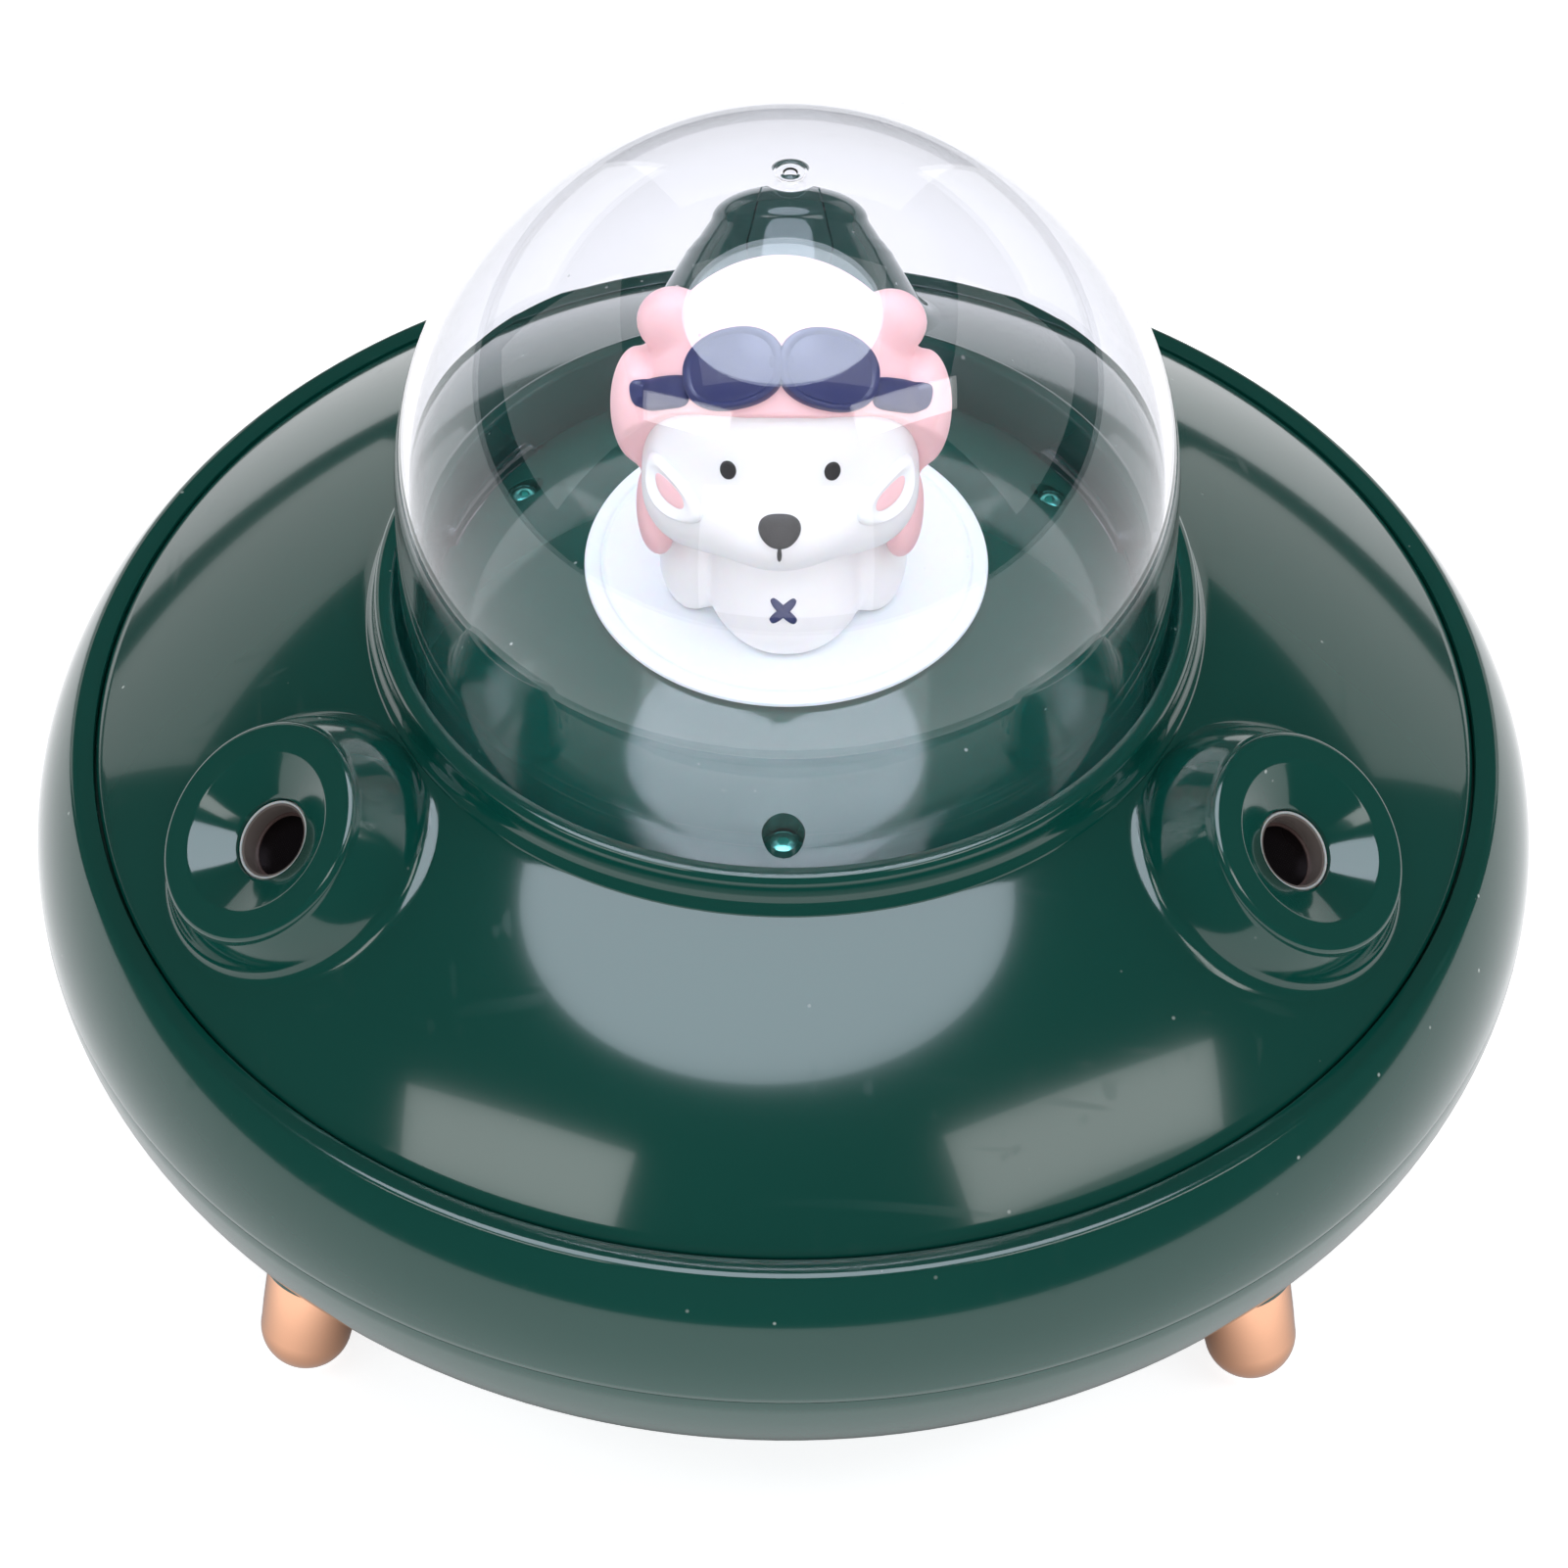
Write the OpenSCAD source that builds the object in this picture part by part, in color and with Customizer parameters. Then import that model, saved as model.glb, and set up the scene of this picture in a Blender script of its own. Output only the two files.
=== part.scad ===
// Saucer-shaped desktop mist humidifier with a clear dome over a small cub figure.
// Millimetres. Origin: on the table, midway between the four feet. +Z up, front is -Y.

/* [Saucer] */
// Radius of the saucer at its waist, where it is widest
saucer_r = 95.2; // [84:0.2:115]
// Height of the waist above the table
waist_z = 40; // [36:0.5:46]
// Height of the bowl's flat underside above the table
base_z = 12; // [10:0.5:15]
// How far in from the waist the bowl's flat underside starts
side_run = 36; // [30:1:42]
// Wall thickness of the bowl and the rim ring
bowl_wall = 2.2; // [1.8:0.1:3]
// How far the rim ring rises above the waist
rim_rise = 16; // [13:0.5:19]
// Radius of the rim ring's outer curve
rim_curve = 24.6; // [22:0.2:30]
// Distance from the waist in to the seam between lid and rim
rim_in = 8.9; // [8:0.1:11]
// Depth of the step that the lid's edge sits in
step_h = 2.2; // [2:0.1:3]

/* [Tank] */
// Wall thickness of the tank
tank_wall = 1.6; // [1.2:0.1:2.5]
// Gap between tank and bowl at the side
tank_side_gap = 4; // [3:0.5:6]
// Gap between tank and bowl underneath
tank_floor_gap = 1.6; // [1:0.1:3]

/* [Lid] */
// Wall thickness of the lid
lid_wall = 2.2; // [1.8:0.1:3]
// How far the lid rises from its seam to the foot of the collar
lid_rise = 19; // [16:0.5:23]
// Height of the collar above the lid
collar_rise = 4.5; // [3.5:0.1:6]
// Thickness of the collar
collar_wall = 2.4; // [2:0.1:3.2]
// Depth of the lid's spigot inside the rim
spigot_h = 8; // [6:0.5:10]
// Gap round the lid at its seam
seam_gap = 0.3; // [0.2:0.05:0.6]
// Thickness of the cover under the lid
under_wall = 2; // [1.6:0.1:3]

/* [Dome] */
// Outer radius of the dome
dome_r = 47; // [39:0.5:57]
// Wall thickness of the dome
dome_wall = 1.8; // [1.4:0.1:2.4]
// How much wider the dome's skirt is at its foot
skirt_flare = 0.6; // [0.3:0.1:1]
// Height of skirt between the collar and the round part of the dome
skirt_show = 15.6; // [12:0.2:19]
// How deep the skirt stands inside the collar
skirt_sink = 9.3; // [7:0.1:11]
// Gap between the dome and the pieces round it
dome_gap = 0.4; // [0.3:0.05:0.8]
// Arc of each of the three lugs inside the dome's foot, in degrees
lug_arc = 26; // [16:1:36]

/* [Deck and lamp] */
// Height of the deck's edge
deck_edge = 1.6; // [1.2:0.1:2.4]
// How far the deck rises from its edge to its centre
deck_rise = 13; // [10:0.5:15]
// Wall thickness of the deck
deck_wall = 2; // [1.6:0.1:2.6]
// Distance from the deck's edge in to its screws
deck_screw_in = 6.6; // [6:0.1:9]
// Radius of the glowing disc
lamp_r = 24.7; // [21:0.1:28]
// How far the disc's edge stands above the deck
lamp_stand = 1.5; // [1:0.1:2.5]
// Height of the crown of the disc
lamp_crown = 0.9; // [0.4:0.1:2]

/* [Nozzles] */
// Angle of each nozzle from the front
nozzle_az = 59.5; // [54:0.5:62]
// Angle of the nozzle's axis above the horizontal
nozzle_el = 54; // [50:1:62]
// Distance from the seam in to the middle of the nozzle's rim
nozzle_in = 14.1; // [12.6:0.1:15]
// Height of the middle of the rim above the lid
nozzle_stand = 7.3; // [6.4:0.1:10]
// Radius of the nozzle's flat rim
nozzle_r = 13.9; // [12.8:0.1:15]
// How much wider the boss is at its foot
boss_flare = 3.9; // [2:0.1:4.6]
// Length of the boss's curved side
boss_h = 10; // [8:0.5:13]
// Radius of the funnel's mouth
funnel_r = 10; // [8:0.1:11]
// Depth of the funnel
funnel_h = 2.9; // [2.4:0.1:3.6]
// Radius of the mist opening
mist_r = 5.1; // [4.6:0.1:5.6]
// Radius of the mist disc, a standard 16 mm part
disc_r = 8; // [7.8:0.1:8.2]
// Radius of the cotton wick
wick_r = 4; // [3.5:0.1:4.3]

/* [Tail] */
// Distance from the seam in to the tip of the tail
tail_in = 8.5; // [8:0.1:11]
// Height of the tail's tip above the lid
tail_stand = 19.8; // [17:0.1:21]
// Radius of the tail where its round end begins
tail_r = 11.2; // [10.6:0.1:13]
// Length of the tail's round end
tail_cap = 5.5; // [4:0.1:7]
// Widening of the tail for each millimetre below its round end
tail_flare = 0.62; // [0.5:0.02:0.66]
// Half width of the button's round end
button_r = 5.75; // [5:0.05:6.2]
// Gap round the button
button_gap = 0.25; // [0.2:0.05:0.4]
// Travel of the button
button_travel = 0.6; // [0.4:0.1:0.8]

/* [Feet] */
// Distance from the waist in to the middle of each foot's tip
foot_in = 11.7; // [10:0.1:16]
// Radius of the foot's round tip
foot_r = 5.7; // [5:0.1:6.6]
// Lean of the foot from upright
foot_lean = 17; // [10:1:22]
// Radius of the pad under each foot
pad_r = 3; // [2.4:0.1:3.4]

/* [Figure] */
// Radius of the cub's head
head_r = 15.8; // [13.5:0.1:16.4]
// Thickness of the cub's cap
cap_wall = 1.5; // [1.2:0.1:2]
// Distance of the figure in front of the dome's axis
figure_fwd = 3; // [0:0.5:5]
// Height of the middle of the head above the disc
head_up = 24.5; // [20:0.5:27]
// Radius of the cub's body
body_r = 12.4; // [10.5:0.1:13.5]

/* [Hidden] */
$fn = 72;

// Colours
green = [0.05, 0.23, 0.21];
copper = [0.85, 0.55, 0.42];
milk = [0.93, 0.94, 0.94];
pink = [0.95, 0.76, 0.78];
navy = [0.15, 0.18, 0.36];
steel = [0.72, 0.73, 0.75];
rubber_grey = [0.8, 0.82, 0.84];
board_green = [0.1, 0.4, 0.2];
black = [0.06, 0.06, 0.07];

eps = 0.01;
fit = 0.05;
seat = 0.2;

// Saucer heights and radii that follow from the sizes above
seam_r = saucer_r - rim_in;
seam_z = waist_z + rim_rise;
step_z = seam_z - step_h;
base_r = saucer_r - side_run;
side_drop = waist_z - base_z;
shelf_r = seam_r + seam_gap;
shelf_round = 1.4;

// Lid: a shallow ball cap through the seam and the foot of the collar
collar_in_r = dome_r + skirt_flare + dome_gap;
collar_r = collar_in_r + collar_wall;
collar_foot_z = seam_z + lid_rise;
collar_z = collar_foot_z + collar_rise;
lid_c = (seam_r * seam_r + seam_z * seam_z - collar_r * collar_r - collar_foot_z * collar_foot_z)
    / (2 * (seam_z - collar_foot_z));
lid_ball = sqrt(seam_r * seam_r + (seam_z - lid_c) * (seam_z - lid_c));
function lid_z(r) = lid_c + sqrt(lid_ball * lid_ball - r * r);
rim_flange = 3.1;
spigot_r = seam_r - rim_flange;
spigot_in_r = spigot_r - lid_wall;
spigot_z = step_z - spigot_h;
under_z = spigot_z + 1;
under_r = spigot_in_r - seam_gap;

// Dome and the ledge it stands on
dome_z = collar_z + skirt_show;
dome_foot_z = collar_z - skirt_sink;
dome_foot_r = dome_r + skirt_flare;
ledge_z = dome_foot_z - seat;
ledge_wall = 2;
lug_h = 3;
lug_t = 1.1;
lug_gap = 0.4;

// Deck: a ball cap through its edge and its crown
deck_r = dome_foot_r - dome_wall - dome_gap;
deck_edge_z = ledge_z + deck_edge;
deck_ball = (deck_r * deck_r + deck_rise * deck_rise) / (2 * deck_rise);
deck_c = deck_edge_z + deck_rise - deck_ball;
function deck_z(r) = deck_c + sqrt(deck_ball * deck_ball - r * r);
deck_screw_r = deck_r - deck_screw_in;
ledge_in_r = deck_screw_r - 5.5;
deck_head_r = 2.4;
deck_head_h = 1.9;
deck_post_z = ledge_z + 1;

// Lamp disc and the board under it
lamp_edge_z = deck_z(lamp_r) + lamp_stand;
lamp_spigot_r = lamp_r - 2.6;
lamp_hole_r = lamp_spigot_r + 0.3;
lamp_under_z = deck_z(lamp_hole_r) + fit;
lamp_plate_z = lamp_under_z - 1;
lamp_ball = (lamp_r * lamp_r + lamp_crown * lamp_crown) / (2 * lamp_crown);
function lamp_z(r) = lamp_top_z - lamp_ball + sqrt(lamp_ball * lamp_ball - r * r);
lamp_top_z = lamp_edge_z + lamp_crown;
board_r = lamp_spigot_r - 2.4;
board_t = 1.2;
lamp_board_z = deck_z(lamp_r) - 7;
lamp_post_r = lamp_hole_r + 3;

// Nozzle axis: origin in the middle of the rim, +Z out of the nozzle
nozzle_rad = seam_r - nozzle_in;
nozzle_z = lid_z(nozzle_rad) + nozzle_stand;
nozzle_tilt = 90 - nozzle_el;
mist_wall = 1.6;
seal_top = -(funnel_h + mist_wall);
seal_h = 3;
seal_r = disc_r + 1.2;
seal_lip_r = mist_r - 0.1;
seal_bore_r = mist_r - 0.8;
disc_t = 0.7;
disc_top = seal_top - 1.3;
holder_top = seal_top - seal_h - fit;
holder_flange = 2;
holder_r = wick_r + 2.1;
holder_in_r = wick_r + 0.4;
nut_top = holder_top - holder_flange - fit;
nut_h = 3.4;
chamber_r = seal_r + 1.4;
plug_h = 2;
tank_floor_z = base_z + bowl_wall + tank_floor_gap + tank_wall;
wick_clear = 2.6;
holder_end = -(nozzle_z - tank_floor_z - wick_clear - holder_r * sin(nozzle_tilt)) / sin(nozzle_el);
spring_h = 8;
spring_wire_r = 0.45;
wick_top = disc_top - disc_t - 0.25;
wick_end = holder_end + plug_h + spring_h;

// Tail axis: origin at the tip, +Z out of the tail; its button faces up and forward
tail_rad = seam_r - tail_in;
tail_z = lid_z(tail_rad) + tail_stand;
tail_tilt = nozzle_tilt;
tail_l = 24;
function tail_side(s) = tail_r + tail_flare * (s - tail_cap);
button_s = 9.5;
button_top_r = 3.3;
button_top_up = 11.9;
button_wall = 2.2;
stem_r = 2;
stem_h = 2.2;
stem_down = 2.6;
button_side = tail_side(button_s + stem_down);
button_depth = button_side - 2.2;
switch_w = 6;
switch_h = 3.4;
plunger_r = 1.7;
plunger_h = 0.9;
plunger_top = -(button_wall + stem_h) - fit;
switch_top = plunger_top - plunger_h;
button_board_top = switch_top - switch_h - fit;

// Socket and control board inside the tail
usb_w = 9;
usb_h = 3.2;
usb_l = 7.4;
usb_z = tail_z - 13;
usb_mouth_y = tail_rad + 5.4;
control_top_z = usb_z - usb_h / 2 - fit;
control_w = 13;
control_rear_y = tail_rad + 1;
control_front_y = control_rear_y - 27;
control_post_y = control_front_y + 5;

// Screws
screw_r = 1.25;
screw_hole_r = 1.6;
screw_head_r = 2.6;
screw_head_h = 1.6;
post_r = 3.4;
cover_post_r = spigot_in_r - 5.2;
cover_screw_az = [20, 95, 150, -150, -95, -20];

// Feet: origin in the middle of the tip, +Z up the foot
foot_rad = saucer_r - foot_in;
foot_h = 9.5;
foot_boss_r = foot_r + 1.1;
foot_bore_h = 7;
pad_h = 1.4;

// Figure
figure_z = lamp_top_z;
head_z = figure_z + head_up;
cap_r = head_r + cap_wall;
lead_r = 0.8;
lead_z = control_top_z - board_t - lead_r - fit;

// Points along an arc, angles in degrees
function arc(c, rx, rz, a0, a1, n) =
    [for (i = [0:n]) let (a = a0 + (a1 - a0) * i / n) [c[0] + rx * cos(a), c[1] + rz * sin(a)]];

// A smooth curve of k steps between neighbouring points
function spline(p, k) = [for (i = [0:len(p) - 2]) for (j = [0:k - 1])
    let (t = j / k, a = p[max(i - 1, 0)], b = p[i], c = p[i + 1], d = p[min(i + 2, len(p) - 1)])
        0.5 * (2 * b + t * (c - a) + t * t * (2 * a - 5 * b + 4 * c - d) + t * t * t * (3 * b - a - 3 * c + d)),
    p[len(p) - 1]];
function unit(v) = v / norm(v);
function heading(p, i) = unit(p[min(i + 1, len(p) - 1)] - p[max(i - 1, 0)]);

// Where a point p given in a nozzle's own directions lies on the whole part
function from_nozzle(side, p) = let (
    y = p[1] * cos(nozzle_tilt) - p[2] * sin(nozzle_tilt) - nozzle_rad,
    z = p[1] * sin(nozzle_tilt) + p[2] * cos(nozzle_tilt) + nozzle_z,
    a = side * nozzle_az) [p[0] * cos(a) - y * sin(a), p[0] * sin(a) + y * cos(a), z];

// Puts a piece on the axis of a nozzle; side is -1 for left, 1 for right
module at_nozzle(side) {
    rotate([0, 0, side * nozzle_az])
        translate([0, -nozzle_rad, nozzle_z])
            rotate([nozzle_tilt, 0, 0]) children();
}

module at_tail() {
    rotate([0, 0, 180])
        translate([0, -tail_rad, tail_z])
            rotate([tail_tilt, 0, 0]) children();
}

// The tail's button: origin on the tail's side, +Z out of the button, +Y up to the tip
module at_button() {
    at_tail() translate([0, button_side, -button_s]) rotate([-90, 0, 0]) rotate([0, 0, 180]) children();
}

// The switch behind the button, a little further from the tip
module at_switch() {
    at_button() translate([0, -stem_down, 0]) children();
}

module at_foot(az) {
    rotate([0, 0, az]) translate([foot_rad, 0, foot_r]) rotate([0, -foot_lean, 0]) children();
}

module ring(r_out, r_in, h) {
    difference() {
        cylinder(r = r_out, h = h);
        translate([0, 0, -1]) cylinder(r = r_in, h = h + 2);
    }
}

// A screw standing on its shank's end, head on top
module screw(shank_h) {
    difference() {
        union() {
            cylinder(r = screw_r, h = shank_h + eps);
            translate([0, 0, shank_h]) cylinder(r1 = screw_head_r, r2 = screw_head_r - 0.7, h = screw_head_h);
        }
        for (a = [0, 90])
            rotate([0, 0, a]) translate([-1.5, -0.25, shank_h + screw_head_h - 0.8]) cube([3, 0.5, 1]);
    }
}

// ---- Base ----

module bowl_outline(inset_r, inset_z) {
    polygon(concat([[0, base_z + inset_z]],
        arc([base_r, waist_z], side_run - inset_r, side_drop - inset_z, -90, 0, 24),
        [[0, waist_z]]));
}

module lower_bowl() {
    lip = 1.6;
    color(green) difference() {
        union() {
            difference() {
                rotate_extrude($fn = 120) bowl_outline(0, 0);
                rotate_extrude($fn = 120) bowl_outline(bowl_wall, bowl_wall);
            }
            for (az = [45:90:315]) difference() {
                at_foot(az) translate([0, 0, foot_h]) cylinder(r = foot_boss_r, h = 6);
                rotate_extrude($fn = 120) bowl_outline(bowl_wall, bowl_wall);
            }
            translate([0, 0, waist_z - lip]) ring(saucer_r - bowl_wall + fit, saucer_r - bowl_wall - 1.2, lip * 2);
        }
        for (az = [45:90:315]) at_foot(az) {
            translate([0, 0, foot_h - 1]) cylinder(r = screw_hole_r, h = 10);
            translate([0, 0, foot_h + 5]) cylinder(r = screw_head_r + 0.3, h = 6);
        }
    }
}

module rim_outline(inset) {
    c = [saucer_r - rim_curve, waist_z];
    r = rim_curve - inset;
    top = seam_z - inset;
    a = asin((rim_rise - shelf_round) / (rim_curve - shelf_round));
    polygon(concat([[0, waist_z]],
        arc(c, r, r, 0, a, 14),
        arc([c[0] + (rim_curve - shelf_round) * cos(a), seam_z - shelf_round],
            max(shelf_round - inset, 0.05), max(shelf_round - inset, 0.05), a, 90, 6),
        [[0, top]]));
}

module rim_ring() {
    lip = 1.6;
    flange = 2.2;
    color(green) difference() {
        rotate_extrude($fn = 120) rim_outline(0);
        difference() {
            translate([0, 0, -eps]) rotate_extrude($fn = 120) rim_outline(bowl_wall);
            translate([0, 0, step_z - flange - seat]) cylinder(r = saucer_r, h = rim_rise);
        }
        translate([0, 0, step_z - seat]) cylinder(r = shelf_r, h = rim_rise);
        translate([0, 0, step_z - 10]) cylinder(r = spigot_r + 1.8, h = rim_rise);
        translate([0, 0, waist_z - eps]) cylinder(r = saucer_r - bowl_wall + 2 * fit, h = lip + seat);
    }
}

module tank_outline(inset) {
    rx = side_run - bowl_wall - tank_side_gap - inset;
    rz = side_drop - bowl_wall - tank_floor_gap - inset;
    polygon(concat([[0, waist_z - rz]],
        arc([base_r, waist_z], rx, rz, -90, 0, 20),
        [[base_r + rx, waist_z + 12 + inset * 2], [0, waist_z + 12 + inset * 2]]));
}

module water_tank() {
    top = step_z - 2.2 - 2 * seat;
    color(rubber_grey) difference() {
        rotate_extrude($fn = 120) tank_outline(0);
        rotate_extrude($fn = 120) tank_outline(tank_wall);
        translate([0, 0, top]) cylinder(r = saucer_r, h = 20);
    }
}

module foot(az) {
    color(copper) difference() {
        at_foot(az) {
            sphere(r = foot_r);
            cylinder(r1 = foot_r, r2 = foot_r + 0.5, h = foot_h);
        }
        rotate([0, 0, az]) translate([foot_rad, 0, -1]) cylinder(r = pad_r + fit, h = pad_h + 1);
        at_foot(az) translate([0, 0, foot_h - foot_bore_h]) cylinder(r = screw_r + fit, h = foot_bore_h + 1);
    }
}
module foot_front_left() { foot(225); }
module foot_front_right() { foot(315); }
module foot_rear_left() { foot(135); }
module foot_rear_right() { foot(45); }

module foot_pads() {
    color(rubber_grey) for (az = [45:90:315])
        rotate([0, 0, az]) translate([foot_rad, 0, 0]) cylinder(r = pad_r, h = pad_h);
}

module foot_screws() {
    color(steel) for (az = [45:90:315])
        at_foot(az) translate([0, 0, foot_h - 6]) screw(11);
}

// ---- Lid ----

module boss_solid() {
    edge = 1;
    rotate_extrude() polygon(concat([[0, 0], [nozzle_r - edge, 0]],
        arc([nozzle_r - edge, -edge], edge, edge, 75, 30, 4),
        [for (i = [0:10]) [nozzle_r + boss_flare * sin(90 * i / 10), -edge - boss_h * i / 10]],
        [[nozzle_r + boss_flare, -boss_h - 8], [0, -boss_h - 8]]));
}

module tail_solid(inset) {
    rotate_extrude() polygon(concat(
        [for (i = [0:12]) [(tail_r - inset) * sin(90 * i / 12), -tail_cap + (tail_cap - inset) * cos(90 * i / 12)]],
        [[tail_side(tail_l) - inset, -tail_l], [0, -tail_l]]));
}

// Outline of the button, wide end down
module button_outline(grow) {
    d = button_top_up;
    k = asin((button_r - button_top_r) / d);
    offset_r = button_r + grow;
    top_r = button_top_r + grow;
    polygon(concat(arc([0, 0], offset_r, offset_r, 180 - k, 360 + k, 20),
        arc([0, d], top_r, top_r, k, 180 - k, 12)));
}

module lid_ball_solid(inset) {
    translate([0, 0, lid_c]) sphere(r = lid_ball - inset, $fn = 160);
}

module collar_outline() {
    soft = 0.9;
    polygon(concat([[collar_in_r, ledge_z - ledge_wall], [collar_in_r + 0.01, collar_z - 0.4]],
        arc([collar_in_r + 0.5, collar_z - 0.5], 0.5, 0.5, 180, 90, 4),
        arc([collar_r - soft, collar_z - soft], soft, soft, 90, 0, 6),
        [[collar_r, collar_foot_z + 0.8], [collar_r + 0.9, collar_foot_z - 0.4],
         [collar_r + 0.9, collar_foot_z - 1.6], [collar_r, ledge_z - ledge_wall]]));
}

module top_cover() {
    color(green) difference() {
        union() {
            // cap, open under the dome
            difference() {
                intersection() {
                    lid_ball_solid(0);
                    translate([0, 0, step_z]) cylinder(r = seam_r, h = 60);
                }
                lid_ball_solid(lid_wall);
                translate([0, 0, step_z - 1]) cylinder(r = collar_in_r, h = 60);
            }
            rotate_extrude($fn = 120) collar_outline();
            translate([0, 0, ledge_z - ledge_wall]) ring(collar_in_r + 1, ledge_in_r, ledge_wall);
            // spigot inside the rim ring
            difference() {
                translate([0, 0, spigot_z]) ring(spigot_r, spigot_in_r, step_h + spigot_h + 4);
                difference() {
                    translate([0, 0, step_z + 1]) cylinder(r = saucer_r, h = 40);
                    lid_ball_solid(lid_wall / 2);
                }
                translate([0, 0, step_z - 3.2]) ring(spigot_r + 1, spigot_r - 1, 1.9);
            }
            for (s = [-1, 1]) difference() {
                at_nozzle(s) boss_solid();
                lid_ball_solid(lid_wall);
            }
            for (s = [-1, 1]) at_nozzle(s)
                translate([0, 0, nut_top - nut_h]) cylinder(r = chamber_r + 1.6, h = nut_h - nut_top - funnel_h);
            difference() {
                at_tail() tail_solid(0);
                lid_ball_solid(lid_wall);
                cylinder(r = collar_r - 0.8, h = 200);
            }
            for (a = [0, 120, 240]) rotate([0, 0, a])
                translate([0, -deck_screw_r, ledge_z - eps]) cylinder(r = post_r, h = deck_post_z - ledge_z);
            for (a = cover_screw_az) rotate([0, 0, a])
                translate([0, -cover_post_r, under_z + under_wall])
                    cylinder(r = post_r, h = lid_z(cover_post_r + post_r) - under_z - under_wall);
        }
        for (s = [-1, 1]) at_nozzle(s) {
            translate([0, 0, -funnel_h]) cylinder(r1 = mist_r, r2 = funnel_r, h = funnel_h + eps);
            translate([0, 0, seal_top - 1]) cylinder(r = mist_r, h = 10);
            translate([0, 0, -30]) cylinder(r = chamber_r, h = 30 + seal_top);
        }
        difference() {
            at_tail() tail_solid(lid_wall);
            translate([0, 0, -10]) cylinder(r = collar_r + 1.5, h = 200);
        }
        at_button() translate([0, 0, -button_depth - button_travel - button_gap])
            linear_extrude(20) button_outline(button_gap);
        // slot for the socket
        translate([0, usb_mouth_y + 6, usb_z]) rotate([90, 0, 0]) usb_bar(0.3, 14);
        for (a = [0, 120, 240]) rotate([0, 0, a])
            translate([0, -deck_screw_r, ledge_z - 4]) cylinder(r = screw_r + fit, h = 10);
        for (a = cover_screw_az) rotate([0, 0, a])
            translate([0, -cover_post_r, under_z]) cylinder(r = screw_r + fit, h = 9);
    }
}

// A bar with round sides, used for the socket and its slot
module usb_bar(grow, l) {
    r = usb_h / 2 + grow;
    x = usb_w / 2 - usb_h / 2;
    linear_extrude(l) polygon(concat(arc([x, 0], r, r, -90, 90, 10), arc([-x, 0], r, r, 90, 270, 10)));
}

module under_cover() {
    color(green) difference() {
        union() {
            translate([0, 0, under_z]) cylinder(r = under_r, h = under_wall);
            for (s = [-1, 1]) intersection() {
                at_nozzle(s) translate([0, 0, holder_end]) cylinder(r = holder_r + 2.2, h = 100);
                translate([0, 0, under_z]) cylinder(r = under_r, h = under_wall + 3);
            }
            translate([0, control_post_y, under_z])
                cylinder(r = post_r, h = control_top_z - board_t - fit - under_z);
        }
        for (s = [-1, 1]) at_nozzle(s) translate([0, 0, holder_end]) cylinder(r = holder_r + 0.3, h = 100);
        for (a = cover_screw_az) rotate([0, 0, a]) translate([0, -cover_post_r, under_z - 1])
            cylinder(r = screw_hole_r, h = 5);
        translate([0, control_post_y, control_top_z - 9]) cylinder(r = screw_r + fit, h = 12);
    }
}

module under_cover_screws() {
    color(steel) for (a = cover_screw_az) rotate([0, 0, a])
        translate([0, -cover_post_r, under_z + 7.5]) mirror([0, 0, 1]) screw(7.5);
}

module lid_seal() {
    color(rubber_grey) translate([0, 0, step_z - 3.1]) ring(spigot_r + 1.4, spigot_r - 1 + fit, 1.7);
}

module deck() {
    color(green) difference() {
        union() {
            difference() {
                intersection() {
                    translate([0, 0, deck_c]) sphere(r = deck_ball, $fn = 140);
                    translate([0, 0, ledge_z]) cylinder(r = deck_r, h = 60);
                }
                difference() {
                    translate([0, 0, deck_c]) sphere(r = deck_ball - deck_wall, $fn = 140);
                    translate([0, 0, ledge_z - 1]) ring(deck_r + 1, deck_r - 3, 1.1);
                }
                translate([0, 0, ledge_z - 1]) cylinder(r = deck_r - 3, h = 1.1);
            }
            for (a = [0, 120, 240]) rotate([0, 0, a]) intersection() {
                translate([0, -deck_screw_r, deck_post_z]) cylinder(r = post_r + 0.6, h = 10);
                translate([0, 0, deck_c]) sphere(r = deck_ball - 0.5, $fn = 140);
            }
            for (a = [60, 180, 300]) rotate([0, 0, a]) intersection() {
                translate([0, -lamp_post_r, lamp_board_z]) cylinder(r = 2.4, h = 20);
                translate([0, 0, deck_c]) sphere(r = deck_ball - 0.5, $fn = 140);
            }
        }
        translate([0, 0, ledge_z]) cylinder(r = lamp_hole_r, h = 60);
        for (a = [0, 120, 240]) rotate([0, 0, a]) {
            translate([0, -deck_screw_r, ledge_z]) cylinder(r = screw_hole_r, h = 20);
            translate([0, -deck_screw_r, deck_z(deck_screw_r) - deck_head_h]) cylinder(r = deck_head_r, h = 20);
            rotate([0, 0, -lug_arc / 2 - 91.5]) rotate_extrude(angle = lug_arc + 3)
                translate([deck_r - lug_t - lug_gap, ledge_z - 1]) square([5, lug_h + 1 + seat + lug_gap]);
        }
        for (a = [60, 180, 300]) rotate([0, 0, a])
            translate([0, -lamp_post_r, lamp_board_z - 1]) cylinder(r = screw_r + fit, h = 6);
    }
}

module deck_screws() {
    h = deck_z(deck_screw_r) - deck_head_h - ledge_z + 1;
    color(steel) for (a = [0, 120, 240]) rotate([0, 0, a])
        translate([0, -deck_screw_r, ledge_z - 1]) difference() {
            union() {
                cylinder(r = screw_r, h = h + eps);
                translate([0, 0, h]) cylinder(r = deck_head_r - 0.3, h = 1.1);
            }
            translate([0, 0, h + 0.4]) cylinder(r = 0.65, h = 2, $fn = 6);
        }
}

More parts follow.
